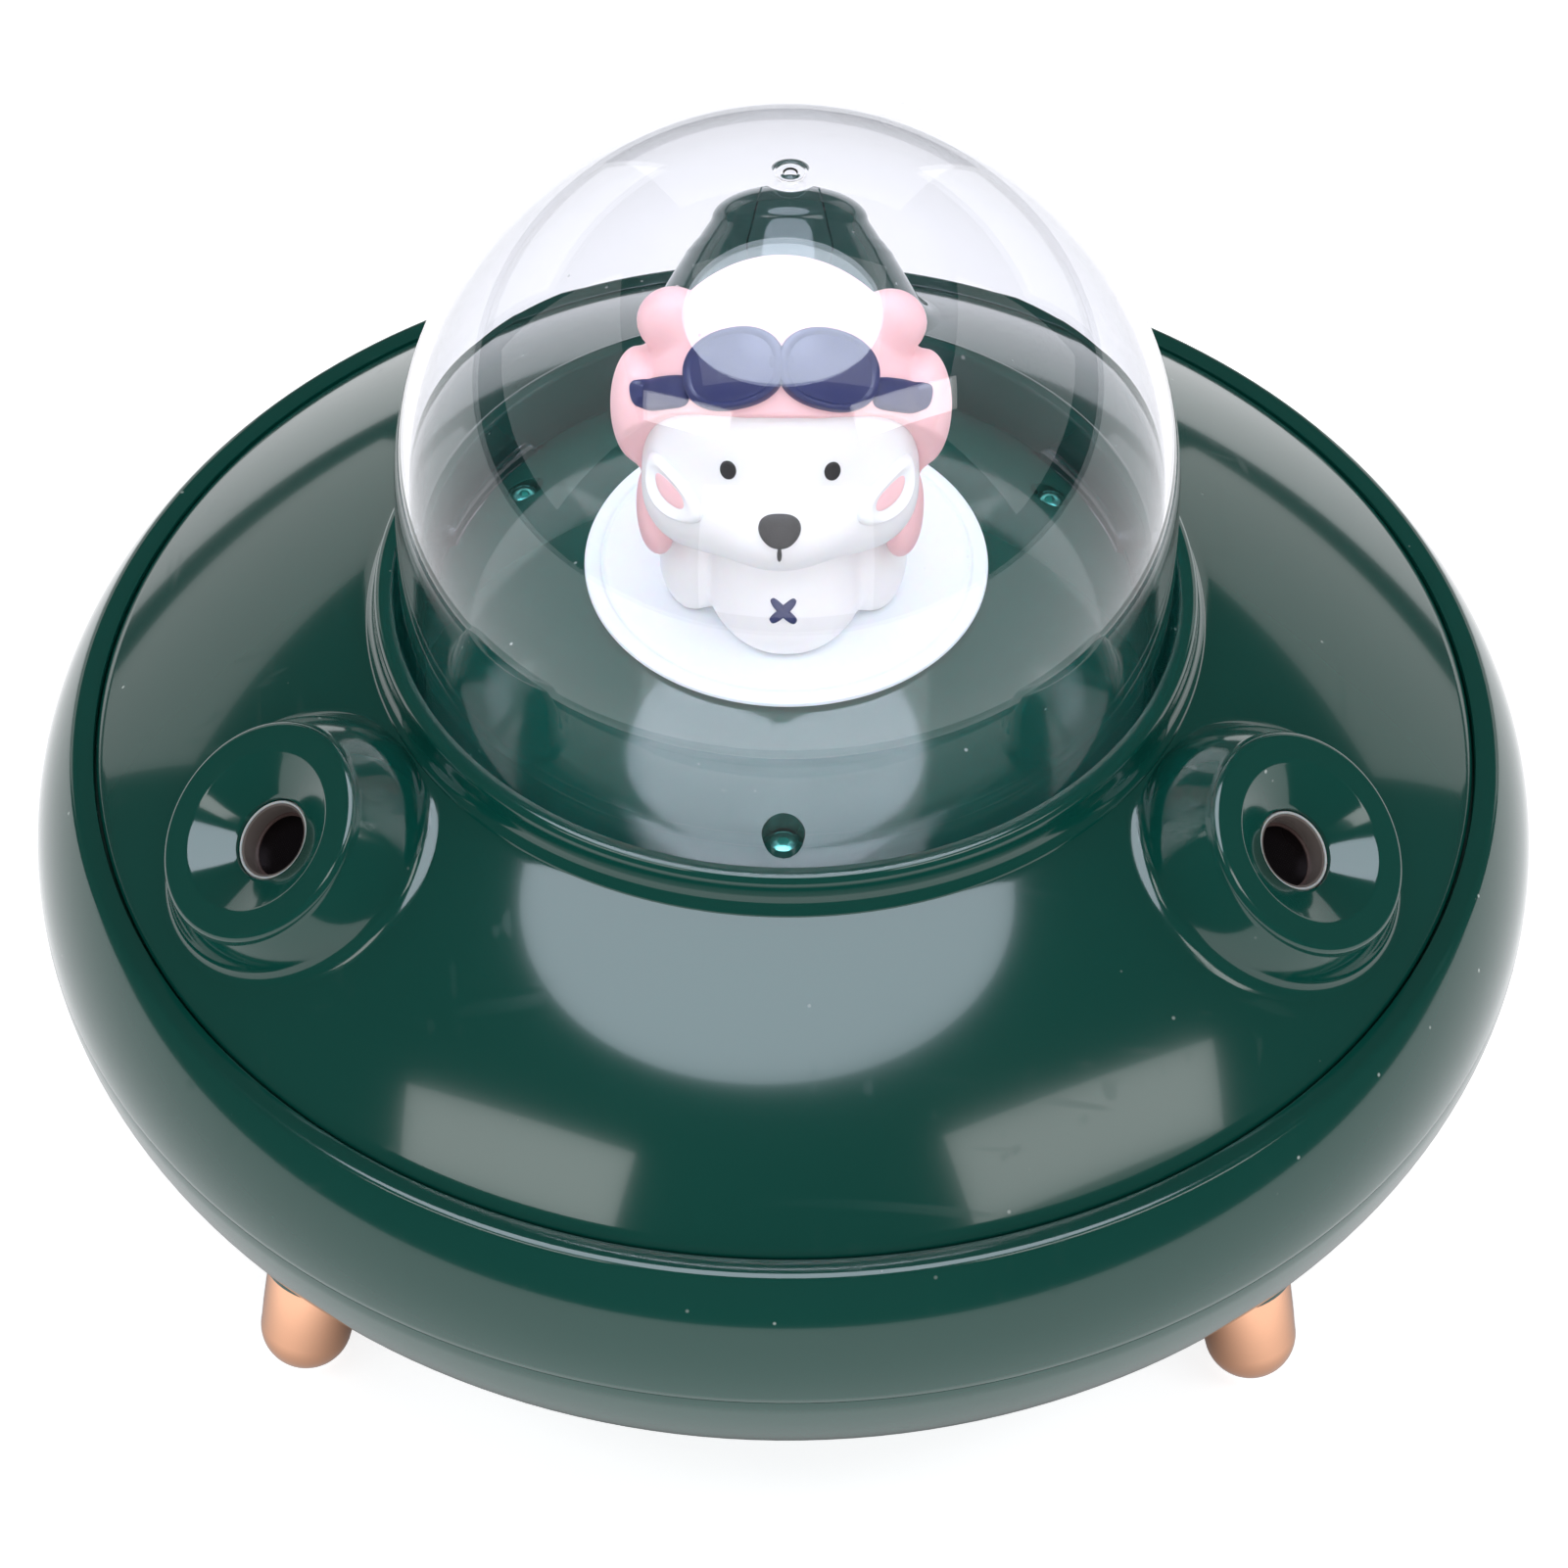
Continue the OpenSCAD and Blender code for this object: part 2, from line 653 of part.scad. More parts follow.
module lamp_disc() {
    groove_r = lamp_r - 2.2;
    color(milk) difference() {
        rotate_extrude($fn = 120) polygon(concat([[0, lamp_plate_z]],
            [[lamp_spigot_r - 1.4, lamp_plate_z], [lamp_spigot_r - 1.4, lamp_under_z - 5],
             [lamp_spigot_r, lamp_under_z - 5], [lamp_spigot_r, lamp_under_z], [lamp_r - 0.2, lamp_under_z],
             [lamp_r, lamp_under_z + 0.2], [lamp_r, lamp_edge_z - 0.2], [lamp_r - 0.2, lamp_edge_z]],
            [[groove_r + 0.25, lamp_z(groove_r + 0.25)], [groove_r, lamp_z(groove_r) - 0.25],
             [groove_r - 0.25, lamp_z(groove_r - 0.25)]],
            [for (i = [1:10]) let (r = (groove_r - 0.25) * (1 - i / 10)) [r, lamp_z(r)]]));
        translate([0, -figure_fwd, lamp_plate_z - 1]) cylinder(r = screw_hole_r, h = 20);
    }
}

module lamp_board() {
    color(board_green) difference() {
        union() {
            translate([0, 0, lamp_board_z - board_t]) cylinder(r = board_r, h = board_t);
            for (a = [60, 180, 300]) rotate([0, 0, a])
                translate([-3, -lamp_post_r - 2.6, lamp_board_z - board_t]) cube([6, 12, board_t]);
        }
        for (a = [60, 180, 300]) rotate([0, 0, a])
            translate([0, -lamp_post_r, lamp_board_z - 4]) cylinder(r = screw_hole_r, h = 8);
    }
}

module lamp_leds() {
    color(milk) for (a = [0:60:300]) rotate([0, 0, a])
        translate([-1.75, -board_r + 3, lamp_board_z]) cube([3.5, 3.5, 1.4]);
}

module lamp_board_screws() {
    color(steel) for (a = [60, 180, 300]) rotate([0, 0, a])
        translate([0, -lamp_post_r, lamp_board_z + 4]) mirror([0, 0, 1]) screw(4 + board_t + fit);
}

// ---- Figure ----

module figure_body() {
    color(milk) difference() {
        translate([0, -figure_fwd, figure_z]) {
            rotate_extrude() polygon(concat([[0, 0], [body_r - 1.5, 0]],
                arc([0, 7], body_r, 9.5, -35, 60, 12), [[0, 15.5]]));
            for (s = [-1, 1]) translate([s * (body_r - 1.4), -1.5, 6]) sphere(r = 4.6);
        }
        translate([0, -figure_fwd, head_z]) sphere(r = head_r + fit);
        muzzle(fit);
        translate([0, -figure_fwd, figure_z - 1]) cylinder(r = screw_r + fit, h = 8);
        translate([0, 0, figure_z - 5]) cylinder(r = 40, h = 5);
        translate([0, -figure_fwd - 4, figure_z + 7.2]) rotate([90, 0, 0]) cross_bars(0.1);
    }
}

module cross_bars(grow) {
    for (a = [45, 135]) rotate([0, 0, a])
        translate([-1.8 - grow, -0.45 - grow, 0]) cube([3.6 + 2 * grow, 0.9 + 2 * grow, 20]);
}

module figure_cross() {
    color(navy) intersection() {
        translate([0, -figure_fwd - 4, figure_z + 7.2]) rotate([90, 0, 0]) cross_bars(0);
        difference() {
            translate([0, -figure_fwd, figure_z + 7]) rotate_extrude()
                polygon(arc([0, 0], body_r + 0.2, 9.7, -89.9, 89.9, 24));
            translate([0, -figure_fwd, figure_z - 2]) cylinder(r = body_r - 0.9, h = 30);
            translate([0, -figure_fwd, figure_z - 2]) translate([-30, 0, 0]) cube(60);
        }
    }
}

module muzzle(grow) {
    translate([0, -figure_fwd - head_r + 4.2, head_z - 6.4]) sphere(r = 6.2 + grow);
}

module figure_head() {
    color(milk) difference() {
        union() {
            translate([0, -figure_fwd, head_z]) sphere(r = head_r);
            muzzle(0);
        }
        for (s = [-1, 1]) eye(s, fit);
        nose(fit);
    }
}

module eye(s, grow) {
    translate([s * 6.4, -figure_fwd - head_r + 2.4, head_z - 0.6]) sphere(r = 1.15 + grow);
}

module nose(grow) {
    translate([0, -figure_fwd - head_r - 1.8, head_z - 5.2]) sphere(r = 1.7 + grow);
}

module figure_eyes() {
    color(black) for (s = [-1, 1]) eye(s, 0);
}

module figure_nose() {
    color(black) nose(0);
}

// The cap leaves the face free below a plane that leans forward
module figure_cap() {
    color(pink) difference() {
        union() {
            translate([0, -figure_fwd, head_z]) sphere(r = cap_r);
            for (s = [-1, 1]) {
                translate([s * 12.5, -figure_fwd + 2, head_z + 12]) sphere(r = 4);
                translate([s * 15.6, -figure_fwd, head_z - 1]) sphere(r = 4.6);
            }
        }
        translate([0, -figure_fwd, head_z]) sphere(r = head_r + fit);
        muzzle(fit);
        translate([0, -figure_fwd, head_z + 4]) rotate([-30, 0, 0]) translate([-13.4, -40, -30])
            cube([26.8, 40, 30]);
        translate([-30, -30, head_z - 50]) cube([60, 60, 39]);
        for (s = [-1, 1]) ear_lobe(s, fit);
        goggle_pair(fit);
        strap_band(fit);
    }
}

module ear_lobe(s, grow) {
    translate([s * 12.4, -figure_fwd - 8.6, head_z - 5]) sphere(r = 2.2 + grow);
}

module figure_ears() {
    color(pink) difference() {
        for (s = [-1, 1]) ear_lobe(s, 0);
        translate([0, -figure_fwd, head_z]) sphere(r = head_r + fit);
    }
}

module goggle_pair(grow) {
    difference() {
        for (s = [-1, 1]) translate([0, -figure_fwd, head_z]) rotate([0, 0, s * 20]) rotate([60, 0, 0])
            cylinder(r = 5.7 + grow, h = cap_r + 1.2 + grow);
        translate([0, -figure_fwd, head_z]) sphere(r = cap_r - 0.6 - grow);
    }
}

module figure_goggles() {
    color(navy) goggle_pair(0);
}

module strap_band(grow) {
    a0 = 10.5 - 3 * grow;
    a1 = 23.5 + 3 * grow;
    difference() {
        translate([0, -figure_fwd, head_z]) rotate([-28, 0, 0]) rotate_extrude()
            polygon(concat(arc([0, 0], cap_r + 0.4, cap_r + 0.4, a0, a1, 6),
                arc([0, 0], cap_r - 0.5 - grow, cap_r - 0.5 - grow, a1, a0, 6)));
        goggle_pair(grow == 0 ? fit : 0);
    }
}

module figure_strap() {
    color(navy) strap_band(0);
}

module figure_screw() {
    color(steel) translate([0, -figure_fwd, lamp_plate_z + 7]) mirror([0, 0, 1]) screw(7 + fit);
}

// ---- Mist units ----

module mist_seal(side) {
    color(milk) at_nozzle(side) difference() {
        union() {
            translate([0, 0, seal_top - seal_h]) cylinder(r = seal_r, h = seal_h - fit);
            translate([0, 0, seal_top - 1]) cylinder(r = seal_lip_r, h = 2.1);
        }
        translate([0, 0, seal_top - 10]) cylinder(r = seal_bore_r, h = 20);
        translate([0, 0, disc_top - disc_t - fit]) cylinder(r = disc_r + fit, h = disc_t + 2 * fit);
        translate([0, 0, seal_top - 10]) cylinder(r = disc_r - 1, h = 10 + disc_top - seal_top);
    }
}
module mist_seal_left() { mist_seal(-1); }
module mist_seal_right() { mist_seal(1); }

module mist_disc(side) {
    color(steel) at_nozzle(side) {
        translate([0, 0, disc_top - disc_t]) cylinder(r = disc_r, h = disc_t - 0.2);
        translate([0, 0, disc_top - 0.2 - eps]) ring(disc_r, 3.4, 0.2);
    }
}
module mist_disc_left() { mist_disc(-1); }
module mist_disc_right() { mist_disc(1); }

module wick_holder(side) {
    color(rubber_grey) at_nozzle(side) difference() {
        union() {
            translate([0, 0, holder_top - holder_flange]) cylinder(r = seal_r, h = holder_flange);
            translate([0, 0, holder_end]) cylinder(r = holder_r, h = holder_top - holder_end);
        }
        translate([0, 0, holder_end - 1]) cylinder(r = holder_in_r, h = 100);
        for (a = [0, 60, 120]) rotate([0, 0, a])
            translate([-1.2, -20, holder_end + plug_h + 3]) cube([2.4, 40, 14]);
    }
}
module wick_holder_left() { wick_holder(-1); }
module wick_holder_right() { wick_holder(1); }

module holder_nut(side) {
    color(green) at_nozzle(side) difference() {
        translate([0, 0, nut_top - nut_h]) cylinder(r = chamber_r - fit, h = nut_h);
        translate([0, 0, nut_top - nut_h - 1]) cylinder(r = holder_r + fit, h = nut_h + 2);
        for (a = [0:60:300]) rotate([0, 0, a])
            translate([chamber_r - 1.6, -0.9, nut_top - nut_h - 1]) cube([3, 1.8, 2.4]);
    }
}
module holder_nut_left() { holder_nut(-1); }
module holder_nut_right() { holder_nut(1); }

module wick(side) {
    color(milk) at_nozzle(side) translate([0, 0, wick_end]) cylinder(r = wick_r, h = wick_top - wick_end);
}
module wick_left() { wick(-1); }
module wick_right() { wick(1); }

// The spring is a stack of wire turns between the plug and the wick
module wick_spring(side) {
    turns = 5;
    pitch = (spring_h - 2 * fit) / turns;
    color(steel) at_nozzle(side) for (i = [0:turns - 1])
        translate([0, 0, holder_end + plug_h + fit + spring_wire_r + pitch * i]) {
            rotate_extrude() translate([wick_r - 0.8, 0]) circle(r = spring_wire_r, $fn = 16);
            rotate([0, 0, i * 180]) translate([wick_r - 0.8, 0, 0]) cylinder(r = spring_wire_r * 0.9,
                h = (i < turns - 1) ? pitch : pitch - 2 * spring_wire_r);
        }
}
module wick_spring_left() { wick_spring(-1); }
module wick_spring_right() { wick_spring(1); }

module wick_plug(side) {
    color(green) at_nozzle(side) difference() {
        union() {
            translate([0, 0, holder_end - 1.4]) cylinder(r = holder_r, h = 1.4 - fit);
            translate([0, 0, holder_end - 1]) cylinder(r = holder_in_r - fit, h = plug_h + 1);
        }
        translate([0, 0, holder_end - 3]) cylinder(r = 1.6, h = 10);
    }
}
module wick_plug_left() { wick_plug(-1); }
module wick_plug_right() { wick_plug(1); }

// ---- Electronics ----

module control_board() {
    color(board_green) difference() {
        translate([-control_w / 2, control_front_y, control_top_z - board_t])
            cube([control_w, control_rear_y - control_front_y, board_t]);
        translate([0, control_post_y, control_top_z - 4]) cylinder(r = screw_hole_r, h = 8);
    }
}

module board_parts() {
    color(black) for (p = [[-4.6, 10, 4, 4, 1.4], [1.4, 10, 3.4, 5, 1.6], [-4, 17, 3, 3, 1.4]])
        translate([p[0], control_front_y + p[1], control_top_z + fit]) cube([p[2], p[3], p[4]]);
}

module board_screws() {
    color(steel) translate([0, control_post_y, control_top_z - 7]) screw(7 + fit);
}

module usb_socket() {
    color(steel) translate([0, usb_mouth_y, usb_z]) rotate([90, 0, 0]) difference() {
        usb_bar(0, usb_l);
        translate([0, 0, -1]) difference() {
            usb_bar(-0.3, usb_l);
            translate([-3.2, -0.35, 2]) cube([6.4, 0.7, usb_l]);
        }
    }
}

module button_board() {
    color(board_green) at_switch() translate([-4, -4.4, button_board_top - board_t]) cube([8, 8.8, board_t]);
}

module tact_switch() {
    color(black) at_switch() difference() {
        translate([-switch_w / 2, -switch_w / 2, button_board_top + fit]) cube([switch_w, switch_w, switch_h]);
        translate([0, 0, switch_top - 1.6]) cylinder(r = plunger_r + 0.1, h = 5);
    }
}

module switch_plunger() {
    color(milk) at_switch() translate([0, 0, switch_top - 0.9])
        cylinder(r = plunger_r, h = plunger_h + 0.9);
}

module power_button() {
    color(green) at_button() {
        intersection() {
            translate([0, 0, -button_depth]) linear_extrude(20) button_outline(0);
            rotate([0, 0, -180]) rotate([90, 0, 0]) translate([0, -button_side, button_s]) difference() {
                tail_solid(0);
                tail_solid(button_wall);
            }
        }
        translate([0, -stem_down, -(button_wall + stem_h)]) cylinder(r = stem_r, h = stem_h + 0.8);
    }
}

// A round wire along a curve that never runs along the direction "across"
module wire(p, across) {
    sides = 8;
    last = len(p) - 1;
    rings = [for (i = [0:last])
        let (t = heading(p, i), u = unit(cross(across, t)), v = cross(t, u))
            for (j = [0:sides - 1]) p[i] + lead_r * (cos(360 * j / sides) * u + sin(360 * j / sides) * v)];
    walls = [for (i = [0:last - 1]) for (j = [0:sides - 1])
        let (a = i * sides + j, b = i * sides + (j + 1) % sides)
            each [[a, a + sides, b + sides], [a, b + sides, b]]];
    polyhedron(rings, concat(walls, [[for (j = [0:sides - 1]) j]],
        [[for (j = [sides - 1:-1:0]) last * sides + j]]));
}

module lead_lamp() {
    color("white") wire(spline([[0, control_front_y - 1, lead_z + 1], [0, control_front_y - 6, lead_z],
        [0, control_front_y - 14, lead_z - 2], [0, board_r, lead_z], [0, 6, lamp_board_z - board_t - 3],
        [0, 3, lamp_board_z - board_t - lead_r - fit]], 5), [1, 0, 0]);
}

module lead_side(side) {
    color("red") wire(spline([[side * 5.4, control_front_y + 8, lead_z], [side * 9, control_front_y - 3, lead_z - 3],
        [side * 26, collar_r - 20, under_z + 8], [side * 36, 5, under_z + 8],
        from_nozzle(side, [0, 9, nut_top - nut_h - 8]),
        from_nozzle(side, [0, 8.6, nut_top - nut_h - 0.3])], 5), [0, 0, 1]);
}
module lead_left() { lead_side(-1); }
module lead_right() { lead_side(1); }

// ---- Dome ----

module dome_solid(inset) {
    translate([0, 0, dome_z]) intersection() {
        sphere(r = dome_r - inset, $fn = 160);
        translate([0, 0, -eps]) cylinder(r = dome_r, h = dome_r + 1);
    }
    translate([0, 0, dome_foot_z - (inset > 0 ? 1 : 0)])
        cylinder(r1 = dome_foot_r - inset, r2 = dome_r - inset, h = dome_z - dome_foot_z + (inset > 0 ? 1 : 0),
            $fn = 160);
}

module dome() {
    gate_r = 1.6;
    color([0.85, 0.87, 0.95, 0.35]) {
        difference() {
            union() {
                dome_solid(0);
                translate([0, 0, dome_z + dome_r - 0.3]) cylinder(r = gate_r, h = 0.5);
            }
            dome_solid(dome_wall);
            translate([0, 0, dome_z + dome_r]) cylinder(r = gate_r - 0.9, h = 1);
        }
        for (a = [0, 120, 240]) rotate([0, 0, a - lug_arc / 2 - 90]) rotate_extrude(angle = lug_arc)
            translate([deck_r - lug_t + dome_gap, dome_foot_z]) square([lug_t + 0.6, lug_h]);
    }
}

lower_bowl();
rim_ring();
water_tank();
foot_front_left();
foot_front_right();
foot_rear_left();
foot_rear_right();
foot_pads();
foot_screws();
top_cover();
under_cover();
under_cover_screws();
lid_seal();
deck();
deck_screws();
lamp_disc();
lamp_board();
lamp_leds();
lamp_board_screws();
figure_body();
figure_head();
figure_cap();
figure_goggles();
figure_strap();
figure_eyes();
figure_nose();
figure_ears();
figure_cross();
figure_screw();
mist_seal_left();
mist_disc_left();
wick_holder_left();
holder_nut_left();
wick_left();
wick_spring_left();
wick_plug_left();
mist_seal_right();
mist_disc_right();
wick_holder_right();
holder_nut_right();
wick_right();
wick_spring_right();
wick_plug_right();
control_board();
board_parts();
board_screws();
usb_socket();
button_board();
tact_switch();
lead_lamp();
lead_left();
lead_right();
switch_plunger();
power_button();
dome();
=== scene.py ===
"""A saucer-shaped desktop mist humidifier with a clear dome over a small cub figure.

Sizes in this script are in millimetres, as on the maker's drawing, and turn into metres
when a piece is made. The humidifier stands on z = 0 and its front faces -Y.
"""
from math import asin, cos, degrees, hypot, pi, radians, sin, sqrt

import bpy
import numpy as np
from mathutils import Matrix, Vector


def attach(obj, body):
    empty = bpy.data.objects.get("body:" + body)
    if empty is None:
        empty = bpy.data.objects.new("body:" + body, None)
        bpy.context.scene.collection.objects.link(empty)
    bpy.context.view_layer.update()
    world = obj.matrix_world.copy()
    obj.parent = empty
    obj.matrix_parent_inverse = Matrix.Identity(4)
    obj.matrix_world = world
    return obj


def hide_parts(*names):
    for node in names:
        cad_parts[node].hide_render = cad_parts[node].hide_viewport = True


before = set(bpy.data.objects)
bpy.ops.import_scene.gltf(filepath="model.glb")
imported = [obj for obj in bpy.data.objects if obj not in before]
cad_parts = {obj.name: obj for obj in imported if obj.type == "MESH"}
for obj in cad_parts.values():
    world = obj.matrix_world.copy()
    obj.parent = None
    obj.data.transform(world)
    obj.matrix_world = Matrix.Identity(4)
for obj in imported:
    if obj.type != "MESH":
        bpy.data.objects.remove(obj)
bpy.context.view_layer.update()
MM = 0.001

# Saucer
SAUCER_R, WAIST_Z, BASE_R, BASE_Z = 95.2, 40.0, 59.2, 12.0
SEAM_R, SEAM_Z, STEP_Z, SHELF_R = 86.3, 56.0, 53.8, 86.6
RIM_CURVE, WALL = 24.6, 2.2
SPIGOT_R, SPIGOT_IN, SPIGOT_Z = 83.2, 81.0, 45.8
# Lid, collar and dome
COLLAR_R, COLLAR_IN, COLLAR_FOOT, COLLAR_Z = 50.4, 48.0, 75.0, 79.5
LID_C = (SEAM_R ** 2 + SEAM_Z ** 2 - COLLAR_R ** 2 - COLLAR_FOOT ** 2) / (2 * (SEAM_Z - COLLAR_FOOT))
LID_BALL = hypot(SEAM_R, SEAM_Z - LID_C)
LEDGE_Z, LEDGE_IN = 70.0, 33.3
DOME_R, DOME_FOOT_R, DOME_Z, DOME_FOOT, DOME_WALL = 47.0, 47.6, 95.1, 70.2, 1.8
# Deck and lamp
DECK_R, DECK_EDGE_Z, DECK_RISE = 45.4, 71.6, 13.0
DECK_BALL = (DECK_R ** 2 + DECK_RISE ** 2) / (2 * DECK_RISE)
DECK_C = DECK_EDGE_Z + DECK_RISE - DECK_BALL
DECK_SCREW_R = 38.8
LAMP_R, LAMP_STAND, LAMP_CROWN, LAMP_SPIGOT = 24.7, 1.5, 0.9, 22.1
# Nozzles and tail
NOZZLE_AZ, NOZZLE_TILT, NOZZLE_RAD, NOZZLE_STAND, NOZZLE_R = 59.5, 36.0, 72.2, 7.3, 13.9
BOSS_FLARE, BOSS_H, FUNNEL_R, FUNNEL_H, MIST_R = 3.9, 10.0, 10.0, 2.9, 5.1
SEAL_TOP, CHAMBER_R, NUT_END = -4.5, 10.6, -13.05
TAIL_RAD, TAIL_STAND, TAIL_R, TAIL_CAP, TAIL_FLARE = 77.8, 19.8, 11.2, 5.5, 0.62
BUTTON_R, BUTTON_TOP_R, BUTTON_UP, BUTTON_S, BUTTON_GAP = 5.75, 3.3, 11.9, 9.5, 0.25
BUTTON_SIDE = TAIL_R + TAIL_FLARE * (BUTTON_S + 2.6 - TAIL_CAP)
BUTTON_DEPTH = BUTTON_SIDE - 2.2
SOCKET_Y, SOCKET_DOWN = 83.2, 13.0
# Feet
FOOT_RAD, FOOT_R, FOOT_LEAN, FOOT_H, PAD_R = 83.5, 5.7, 17.0, 9.5, 3.0
FEET = {"front_left": 225, "front_right": 315, "rear_left": 135, "rear_right": 45}
# Screws
THIRDS = (0, 120, 240)
COVER_SCREW_R, COVER_SCREWS = 75.8, (20, 95, 150, -150, -95, -20)


def lid_z(r):
    return LID_C + sqrt(LID_BALL ** 2 - r * r)


def lid_under_z(r):
    return LID_C + sqrt((LID_BALL - WALL) ** 2 - r * r)


def deck_z(r):
    return DECK_C + sqrt(DECK_BALL ** 2 - r * r)


NOZZLE_Z = lid_z(NOZZLE_RAD) + NOZZLE_STAND
TAIL_Z = lid_z(TAIL_RAD) + TAIL_STAND
LAMP_EDGE_Z = deck_z(LAMP_R) + LAMP_STAND
LAMP_TOP = LAMP_EDGE_Z + LAMP_CROWN

# ---------------------------------------------------------------- camera and light

scene = bpy.context.scene
scene.view_settings.view_transform = "Standard"
AIM = Vector((0, 0, 0.06))
FILL_SIZE = (1.6, 1.2)


def set_camera():
    camera = bpy.data.objects.new("camera", bpy.data.cameras.new("camera"))
    scene.collection.objects.link(camera)
    camera.data.sensor_width = 36.0
    camera.data.lens = 103.43
    camera.data.clip_start = 0.01
    look_down, roll = radians(46.67), radians(0.6)
    camera.matrix_world = (Matrix.Translation((0, -0.39656, 0.46266))
                           @ Matrix.Rotation(pi / 2 - look_down, 4, "X") @ Matrix.Rotation(roll, 4, "Z"))
    scene.camera = camera


def softbox(name, centre, size, radiance, turn=None):
    """A soft light of the given radiance. It faces the dome, or straight down, turned by degrees."""
    light = bpy.data.lights.new(name, "AREA")
    light.shape = "RECTANGLE"
    light.size, light.size_y = size
    light.energy = radiance * pi * size[0] * size[1]
    lamp = bpy.data.objects.new(name, light)
    scene.collection.objects.link(lamp)
    lamp.rotation_mode = "QUATERNION"
    if turn is None:
        lamp.rotation_quaternion = (AIM - Vector(centre)).to_track_quat("-Z", "Y")
    else:
        lamp.rotation_quaternion = Matrix.Rotation(radians(turn), 3, "Z").to_quaternion()
    lamp.location = centre
    return lamp


def set_lights():
    """Softboxes that show in the gloss, and wide fills that only brighten."""
    box = softbox("overhead", (-0.04, 0.05, 1.25), (1.10, 0.96), 3.9, 0)
    box.data.shape = "ELLIPSE"
    box.data.color = (0.88, 0.97, 1.10)
    box.visible_diffuse = False
    softbox("fill_top", (0, 0.05, 1.3), (1.1, 0.9), 1.35, 0).visible_glossy = False
    softbox("front_left", (-0.72, -0.59, 1.25), (0.69, 0.26), 3.6, -22)
    softbox("front_right", (0.85, -0.47, 1.25), (0.88, 0.29), 3.6, 27)
    for x in (-1, 1):
        softbox("back_side", (x * 1.15, 1.4, 0.50), (1.1, 0.65), 0.9)
    for name, centre, radiance in (
            ("fill_front", (0, -1.6, 0.75), 2.0), ("fill_left", (-1.6, 0.1, 0.9), 1.2),
            ("fill_right", (1.6, 0.1, 0.9), 1.2), ("fill_back", (0, 1.7, 0.9), 1.0)):
        softbox(name, centre, FILL_SIZE, radiance).visible_glossy = False
    world = bpy.data.worlds.new("studio")
    world.use_nodes = True
    sky = world.node_tree.nodes["Background"]
    sky.inputs["Color"].default_value = (0.94, 0.96, 1.0, 1)
    sky.inputs["Strength"].default_value = 0.10
    scene.world = world


set_camera()
set_lights()

# ---------------------------------------------------------------- finishes


def add(tree, kind, **sockets):
    """Adds a node. Each keyword sets or links the input of that name, with _ for spaces, or i and its number."""
    node = tree.nodes.new(kind)
    for key, value in sockets.items():
        numbered = key[0] == "i" and key[1:].isdigit()
        target = node.inputs[int(key[1:]) if numbered else key.replace("_", " ")]
        if isinstance(value, bpy.types.NodeSocket):
            tree.links.new(value, target)
        else:
            target.default_value = value
    return node


def math(tree, operation, a, b=0.0, c=None):
    node = tree.nodes.new("ShaderNodeMath")
    node.operation = operation
    for i, value in enumerate((a, b) if c is None else (a, b, c)):
        if isinstance(value, bpy.types.NodeSocket):
            tree.links.new(value, node.inputs[i])
        else:
            node.inputs[i].default_value = value
    return node.outputs[0]


def ramp(tree, value, low, high, from_low=0.0, from_high=1.0):
    """The value as it goes from from_low to from_high, turned into low to high."""
    return add(tree, "ShaderNodeMapRange", Value=value, From_Min=from_low, From_Max=from_high,
               To_Min=low, To_Max=high).outputs[0]


def between(tree, skin, low, high):
    """low to high over the broad ripple of a moulded skin."""
    return ramp(tree, skin.outputs["Ripple"], low, high, 0.3, 0.7)


def effect(name, inputs, outputs):
    """An empty shader group with float inputs {name: default} and the named outputs."""
    group = bpy.data.node_groups.new(name, "ShaderNodeTree")
    for key, value in inputs.items():
        socket = group.interface.new_socket(name=key, in_out="INPUT", socket_type="NodeSocketFloat")
        socket.default_value = value
    for key in outputs:
        group.interface.new_socket(name=key, in_out="OUTPUT", socket_type="NodeSocketFloat")
    return group, group.nodes.new("NodeGroupInput"), group.nodes.new("NodeGroupOutput")


def dust_specks():
    """Sparse pale dots of dust. Cells is how many fit in a metre, Amount the share that are dusty."""
    group, ins, outs = effect("dust_specks", {"Cells": 260.0, "Amount": 0.5}, ["Mask"])
    place = group.nodes.new("ShaderNodeTexCoord").outputs["Object"]
    cells = add(group, "ShaderNodeTexVoronoi", Vector=place, Scale=ins.outputs["Cells"], Randomness=1.0)
    dot = ramp(group, cells.outputs["Distance"], 1.0, 0.0, 0.035, 0.075)
    chosen = math(group, "LESS_THAN", cells.outputs["Color"], ins.outputs["Amount"])
    patchy = add(group, "ShaderNodeTexNoise", Vector=place, Scale=38.0, Detail=2.0)
    where = ramp(group, patchy.outputs["Fac"], 0.0, 1.0, 0.42, 0.62)
    mask = math(group, "MULTIPLY", math(group, "MULTIPLY", dot, chosen), where)
    group.links.new(mask, outs.inputs["Mask"])
    return group


